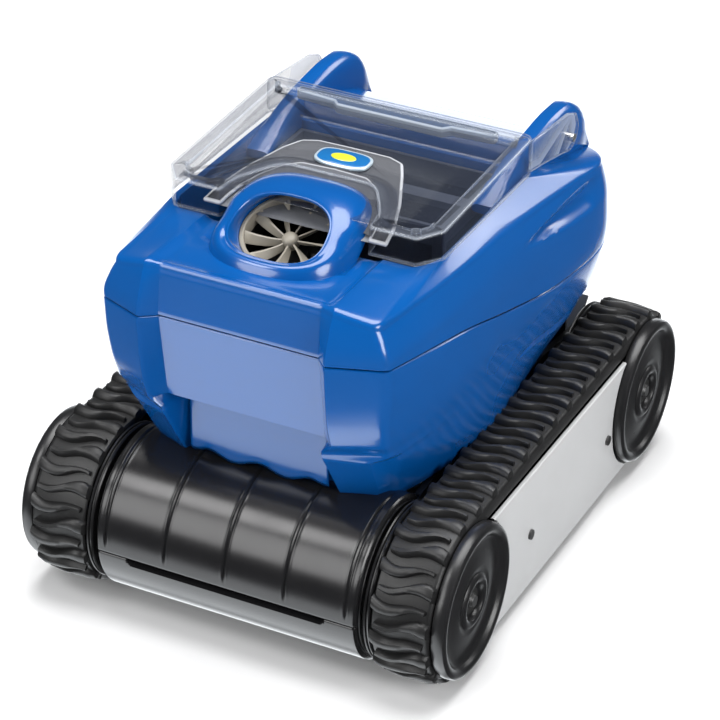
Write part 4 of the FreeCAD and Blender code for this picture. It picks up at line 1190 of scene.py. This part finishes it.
def badge_part(name, half_wide, half_long, power, finish, low, high, round_edge=0.5, centre_y=-42.5):
    """A low lozenge on the arch."""
    steps = 64
    rows = []
    for inward, rise in ((0.0, low), (0.0, high - round_edge), (round_edge * 0.4, high - round_edge * 0.3),
                         (round_edge * 1.2, high)):
        row = []
        for i in range(steps):
            a = 2 * math.pi * i / steps
            c, s = math.cos(a), math.sin(a)
            x = (half_wide - inward) * squared(c, 2 / power)
            y = centre_y + (half_long - inward) * squared(s, 2 / power)
            row.append((x, y, arch_height(y) + rise))
        rows.append(row)
    bm = bmesh.new()
    made = add_rows(bm, rows)
    cap(bm, made[0])
    cap(bm, made[-1])
    clean(bm)
    thing = add_object(name, bm)
    settle(thing, finish, "lid", "lid_emblem")


badge_part("badge_rim", 19.6, 10.6, 3.2, "badge_pale", -0.4, 1.3)
badge_part("badge_field", 17.9, 9.0, 3.2, "badge_blue", 0.4, 1.7)
badge_part("badge_dot", 9.0, 4.6, 2.0, "badge_lime", 1.0, 2.1)

# %% [markdown]
# ### The frosted bar at the rear of the lid
# A finger grip runs along the rear edge. Its lower edge is stepped, and its faces are frosted.

# %% Rear bar
GRIP = [(-74, 40.0), (-74, 33.5), (-44, 31.0), (-40, 26.5), (38, 26.5), (43, 31.5), (74, 33.5), (74, 40.0)]
# a level is the distance inwards, the rise and the strength of the painted edge highlight
GRIP_LEVELS = [(0.6, -7.0, 0.2), (0.0, -6.4, 0.3), (0.0, -0.8, 0.7), (0.8, 0.0, 0.8), (1.8, 0.1, 0.0)]
bm = bmesh.new()
grip = rounded(GRIP, [2, 3, 2, 2, 2, 2, 3, 2], steps=5)
made = nested(bm, grip, GRIP_LEVELS, lambda y, rise, spot: lid_top(y) - 1.2 + rise)
cap(bm, made[0])
cap(bm, made[-1])
bmesh.ops.recalc_face_normals(bm, faces=bm.faces[:])
bar = add_object("lid_grip_bar", bm)
settle(bar, "frosted_plastic", "lid", "lid_rear_bar")

# %% [markdown]
# ## The black barrel between the front wheels
# The front end of the chassis is a long barrel that covers the two drive motors. It is one skin in two
# mouldings: the cover above, with five shallow rings pressed into it, and the lip below, whose upper
# edge is cut back to a long slot. Both are turned about the same axis, so a point needs only its place
# along the barrel and its angle; the rings, the slot and the rounded ends are changes of radius.

# %% Radius of the barrel
NOSE_R = 56.0
END_R = 42.0               # the barrel's ends close down to this radius
NOSE_HALF = 95.6
SEAM = 187.0               # degrees round the barrel, where the cover meets the lip
RINGS = (-88.0, -44.0, 0.0, 44.0, 88.0)


def barrel_radius(x, degrees, lip):
    """The radius at one place along the barrel and one angle round it."""
    r = NOSE_R - 2.6 * (1 - math.sqrt(max(0.0, 1 - ease(NOSE_HALF - 3.0, NOSE_HALF, abs(x)) ** 2)))
    if not lip:
        for ring in RINGS:
            near = abs(x - ring)
            r -= 0.9 * (1 - ease(0.2, 1.1, near)) * ease(74, 84, degrees) * (1 - ease(176, 182, degrees))
            r += 0.2 * (1 - ease(0.0, 1.0,
                                 abs(near - 1.9))) * ease(74, 84, degrees) * (1 - ease(176, 182, degrees))
        r -= 0.8 * ease(185.6, 186.8, degrees)
    else:
        cut = 73.0 - max(degrees - SEAM - 2.5, 0.0) * 1.4
        r -= 0.8 * (1 - ease(SEAM + 0.2, SEAM + 1.4, degrees))
        if abs(x) < cut:
            r -= 6.0 * (1 - ease(SEAM + 5.0, SEAM + 5.6, degrees)) * (1 - ease(cut - 0.6, cut, abs(x)))
        r -= 1.0 * ease(292, 300, degrees)
    return r


def barrel_stations():
    """Places along the barrel, close together where its radius changes fast."""
    spots = {NOSE_HALF, -NOSE_HALF, NOSE_HALF - 0.3, -NOSE_HALF + 0.3, NOSE_HALF - 1, 1 - NOSE_HALF,
             NOSE_HALF - 2, 2 - NOSE_HALF}
    for ring in RINGS:
        spots.update(ring + d for d in (-4.0, -3.0, -2.4, -1.8, -1.3, -0.7, 0.0, 0.7, 1.3, 1.8, 2.4, 3.0,
                                        4.0))
    spots.update(np.linspace(-NOSE_HALF + 3, NOSE_HALF - 3, 44))
    spots.update(side * d for side in (-1, 1) for d in (66.0, 68.5, 70.5, 71.5, 72.2, 72.8, 73.2))
    return sorted(s for s in spots if abs(s) <= NOSE_HALF)


def barrel_skin(name, node, angles, lip):
    """One of the barrel's two mouldings, over a range of angles."""
    bm = bmesh.new()
    rows = []
    for x in barrel_stations():
        row = []
        for degrees in angles:
            r = barrel_radius(x, degrees, lip)
            a = math.radians(degrees)
            row.append((x, -AXLE_Y + r * math.cos(a), AXLE_Z + r * math.sin(a)))
        rows.append(row)
    for x, step in ((rows[0][0][0], 0), (rows[-1][0][0], -1)):
        ring = [(x, -AXLE_Y + END_R * math.cos(math.radians(d)), AXLE_Z + END_R * math.sin(math.radians(d)))
                for d in angles]
        rows.insert(0, ring) if step == 0 else rows.append(ring)
    add_rows(bm, rows, closed=False)
    clean(bm)
    skin = inside_wall(add_object(name, bm, angle=32.0), 1.6)
    settle(skin, "barrel_black", "chassis", node)


cover_angles = list(np.linspace(42, 84,
                                15)) + list(np.linspace(88, 182,
                                                        34)) + [SEAM - d for d in (3.5, 2.5, 1.5, 0.9, 0.5, 0.2)]
lip_angles = [SEAM + d for d in (0.3, 0.7, 1.1, 1.5, 2.5, 3.5, 4.6, 5.0, 5.3, 5.7,
                                 6.5)] + list(np.linspace(SEAM + 8, 300, 32))
barrel_skin("barrel_cover", "nose_cover", cover_angles, lip=False)
barrel_skin("barrel_lip", "nose_lip", lip_angles, lip=True)

# %% [markdown]
# ## Wheels
# A wheel is a turned part: its section is drawn once as points of (distance along the axle, radius)
# and swept round the axle. The outer disc is dished, with a raised rim and a stepped hub round the
# screw; the inner end carries the double guide ring that keeps the belt on.

# %% Wheels and their discs
WHEEL = [(99.0, 7.0), (99.0, 51.8), (99.4, 53.2), (100.2, 53.9), (101.0, 53.6), (101.5, 52.2),
         (102.1, 52.2), (102.6, 53.6),
         (103.4, 53.9), (104.1, 53.2), (104.5, 51.8), (104.7, 49.3), (144.5, 49.3), (144.6, 48.6),
         (144.6, 41.5), (145.2, 41.0), (145.2, 7.0)]
DISC = [(146.1, 7.0), (146.1, 50.6), (146.8, 52.2), (148.6, 52.9), (152.6, 52.8), (154.6, 51.9),
        (155.7, 50.3), (155.9, 48.6),
        (155.5, 46.8), (154.3, 45.2), (152.6, 44.2), (151.6, 42.6), (151.3, 40.0), (151.5, 36.0),
        (152.2, 30.0), (152.9, 24.5),
        (153.0, 21.8), (152.6, 20.4), (152.8, 19.4), (153.8, 18.4), (154.6, 17.0), (154.7, 15.2),
        (154.1, 13.6), (152.6, 12.6),
        (150.7, 12.2), (150.25, 11.4), (150.25, 7.0)]
WHEEL_BODY = {("near", "left"): "near_left_wheel", ("near", "right"): "near_right_wheel",
              ("far", "left"): "far_left_wheel", ("far", "right"): "far_right_wheel"}


def turned_piece(name, section, centre, side, body, node, steps=96):
    """A closed section turned about an axle, dressed as a wheel."""
    bm = bmesh.new()
    turned(bm, section + section[:1], centre, side, steps)
    clean(bm)
    settle(add_object(name, bm, angle=30.0), "wheel_black", body, node)


for (end, hand), body in WHEEL_BODY.items():
    centre = (-AXLE_Y if end == "near" else AXLE_Y, AXLE_Z)
    side = -1 if hand == "left" else 1
    name = end + "_" + hand
    turned_piece("wheel_body_" + name, WHEEL, centre, side, body, "wheel_" + name)
    turned_piece("wheel_face_" + name, DISC, centre, side, body, "wheel_disc_" + name)

# %% [markdown]
# ## The two track belts
# A belt is a rubber band on an oval path round two wheels, with a tread of wavy tongues that reach in
# from the two edges in turn. The path is drawn once as a loop of points. The band is its section swept
# along it. A Geometry Nodes tree resamples the same loop into equal steps and stands one pair of
# tongues on every step, turned to the path, so the tread closes without a gap for any count.

# %% The oval path
def oval(radius, steps=28, straight=14):
    """Points of (y, z) along the top towards the far wheel, round it and back underneath."""
    points = []
    for k in range(straight):
        points.append((mix(-AXLE_Y, AXLE_Y, k / straight), AXLE_Z + radius))
    for k in range(steps):
        a = math.pi / 2 - math.pi * k / steps
        points.append((AXLE_Y + radius * math.cos(a), AXLE_Z + radius * math.sin(a)))
    for k in range(straight):
        points.append((mix(AXLE_Y, -AXLE_Y, k / straight), AXLE_Z - radius))
    for k in range(steps):
        a = -math.pi / 2 - math.pi * k / steps
        points.append((-AXLE_Y + radius * math.cos(a), AXLE_Z + radius * math.sin(a)))
    return points


TONGUE_HIGH = 5.4
SKIN = TREAD - TONGUE_HIGH
BAND = [(BELT_IN, 50.0), (BELT_IN, SKIN - 1.4), (BELT_IN + 1.0, SKIN - 0.2), (BELT_IN + 2.2, SKIN),
        (BELT_OUT - 2.2, SKIN),
        (BELT_OUT - 0.6, SKIN - 0.4), (BELT_OUT + 0.6, SKIN - 1.6), (BELT_OUT + 0.9, SKIN - 3.4),
        (BELT_OUT + 0.9, 42.6),
        (BELT_OUT - 0.2, 42.6), (BELT_OUT - 0.2, 50.0)]


def belt_band(side):
    """The band's section swept along the oval."""
    bm = bmesh.new()
    rows = [[(side * x, y, z) for y, z in oval(r)] for x, r in BAND]
    add_rows(bm, rows + rows[:1])
    clean(bm)
    return bm


print("belt path: %.0f mm at the skin" % (2 * math.pi * SKIN + 4 * AXLE_Y))


# %% One pair of tongues
def tongue(bm, root, shift, phase):
    """A wavy ridge across the belt: high and wide at its root edge, narrow at its tip."""
    half = (BELT_OUT - BELT_IN) / 2 - 0.1
    height = TONGUE_HIGH - 0.8
    rows = []
    for k in range(11):
        u = k / 10
        x = root * mix(half, -half * 0.86, u)
        wide = mix(4.7, 1.7, ease(0.0, 1.0, u)) + 0.5 * math.sin(u * 9 + phase)
        high = height * mix(1.0, 0.66, ease(0.55, 1.0, u)) * mix(0.70, 1.0, ease(0.0, 0.12, u))
        centre = shift + 2.9 * math.sin(u * 5.2 + phase) - 1.2 * u
        rows.append([(x, centre - wide, -0.6), (x, centre - wide * 0.82, high * 0.72),
                     (x, centre - wide * 0.48, high),
                     (x, centre + wide * 0.48, high), (x, centre + wide * 0.82, high * 0.72),
                     (x, centre + wide, -0.6)])
    first = [(x + root * 0.9, y, z - (4.2 if z < 0 else z * 0.55 + 2.0)) for x, y, z in rows[0]]
    made = add_rows(bm, [first] + rows)
    cap(bm, made[0])
    cap(bm, made[-1])


def tread_seed():
    """Two tongues from the two edges, as one object for the tree to copy."""
    bm = bmesh.new()
    tongue(bm, 1, -6.2, 0.4)
    tongue(bm, -1, 6.2, 3.3)
    clean(bm)
    return add_object("tread_pair", bm)


def tread_tree(name):
    """Stands the mesh of one object on equal steps of the incoming loop."""
    tree, given = new_tree(name, Loop="Geometry", Tongues="Object", Pairs="Int", Finish="Material")
    curve = put(tree, "GeometryNodeMeshToCurve", {"Mesh": given["Loop"]})
    even = put(tree, "GeometryNodeResampleCurve", {"Curve": curve.outputs["Curve"], "Count": given["Pairs"]})
    tangent = put(tree, "GeometryNodeInputTangent").outputs["Tangent"]
    split = put(tree, "ShaderNodeSeparateXYZ", {"Vector": tangent}).outputs
    angle = put(tree, "ShaderNodeMath", {0: split["Z"], 1: split["Y"]}, operation="ARCTAN2")
    turn = put(tree, "ShaderNodeCombineXYZ", {"X": angle.outputs["Value"]})
    pair = put(tree, "GeometryNodeObjectInfo", {"Object": given["Tongues"]})
    tread = real_copies(tree, even.outputs["Curve"], pair.outputs["Geometry"], turn.outputs["Vector"])
    return painted_result(tree, tread, given["Finish"])


# %% Both belts
PAIR_COUNT = 38
tread = tread_tree("tread_along_the_path")
pair = tread_seed()
for hand, side in (("left", -1), ("right", 1)):
    middle = side * (BELT_IN + BELT_OUT) / 2
    bm = bmesh.new()
    loop = [bm.verts.new((middle * MM, y * MM, z * MM)) for y, z in oval(SKIN)]
    for a, b in zip(loop, loop[1:] + loop[:1]):
        bm.edges.new((a, b))
    path = add_object("belt_path", bm, smooth=False)
    tongues = run_tree("belt_tread_" + hand, path, tread,
                       {"Tongues": pair, "Pairs": PAIR_COUNT, "Finish": FINISH["belt_rubber"]}, angle=50.0)
    band = add_object("belt_band_" + hand, belt_band(side), angle=40.0)
    for thing in (band, tongues):
        settle(thing, "belt_rubber", "chassis", "belt_" + hand)
bpy.data.objects.remove(pair)

# %% [markdown]
# ## The grey side guards
# Between the wheels a flat grey plate closes the track. Its ends are cut round the wheels.

# %% Side guards
guard_low, guard_high = place("side_panel_right")


def guard_outline(reach=54.6, steps=18):
    """A plate whose two ends follow the wheels at a small distance."""
    low, high = guard_low[2], guard_high[2]
    top = math.asin((high - AXLE_Z) / reach)
    bottom = math.asin((low - AXLE_Z) / reach)
    right = [(AXLE_Y - reach * math.cos(mix(bottom, top, k / steps)),
              AXLE_Z + reach * math.sin(mix(bottom, top, k / steps)))
             for k in range(steps + 1)]
    return right + [(-y, z) for y, z in reversed(right)]


for hand, side in (("left", -1), ("right", 1)):
    bm = bmesh.new()
    plate(bm, guard_outline(), guard_low[0], guard_high[0], edge=0.7)
    if side < 0:
        for vert in bm.verts:
            vert.co.x = -vert.co.x
    clean(bm)
    guard = add_object("track_guard_" + hand, bm)
    settle(guard, "panel_grey", "chassis", "side_panel_" + hand)

# %% [markdown]
# ## The rest of the frame
# Parts that are already right in the CAD model keep their shape and only get their finish: the motors,
# the filter basket, the float, the brackets and the screws. A table says which finish each node wears.

# %% Finishes for the parts that keep their CAD shape
PLAIN = {
    "hood_blue": ["hood_upper", "hood_lower", "front_panel", "outlet_bezel"],
    "black_plastic": ["chassis_tub", "intake_throat", "base_plate", "side_frame_left", "side_frame_right",
                      "track_frame_left", "track_frame_right", "pump_bracket_left", "pump_bracket_right",
                      "pump_housing", "pump_housing_cap", "control_box", "cable_gland", "outlet_duct",
                      "canister_seat", "impeller"],
    "barrel_black": ["nose_cover", "nose_lip"],
    "wheel_black": ["wheel_near_left", "wheel_near_right", "wheel_far_left", "wheel_far_right",
                    "wheel_disc_near_left", "wheel_disc_near_right", "wheel_disc_far_left",
                    "wheel_disc_far_right",
                    "brush_core"],
    "belt_rubber": ["belt_left", "belt_right"],
    "panel_grey": ["side_panel_left", "side_panel_right"],
    "clear_plastic": ["lid_window"],
    "smoke_plastic": ["lid_trim"],
    "frosted_plastic": ["lid_rear_bar"],
    "badge_blue": ["lid_emblem"],
    "grille_beige": ["outlet_grille"],
    "filter_frame_grey": ["canister_frame", "canister_handle", "intake_flap"],
    "filter_cloth": ["canister_mesh"],
    "steel": ["base_screws", "lid_pins", "far_axle", "drive_shaft_left", "drive_shaft_right"],
    "dark_steel": ["panel_screws", "hub_screws_far", "hub_screw_near_left", "hub_screw_near_right"],
    "motor_metal": ["drive_motor_left", "drive_motor_right", "pump_motor"],
    "seal_rubber": ["pump_seal"],
    "brush_rubber": ["brush_vanes"],
    "float_foam": ["float_block"],
}


dressed = 0
for finish, nodes in PLAIN.items():
    for node in nodes:
        dress(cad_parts[node], finish)
        dressed += 1
missing = set(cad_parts) - {node for nodes in PLAIN.values() for node in nodes}
print("nodes with a finish:", dressed, "without:", sorted(missing))
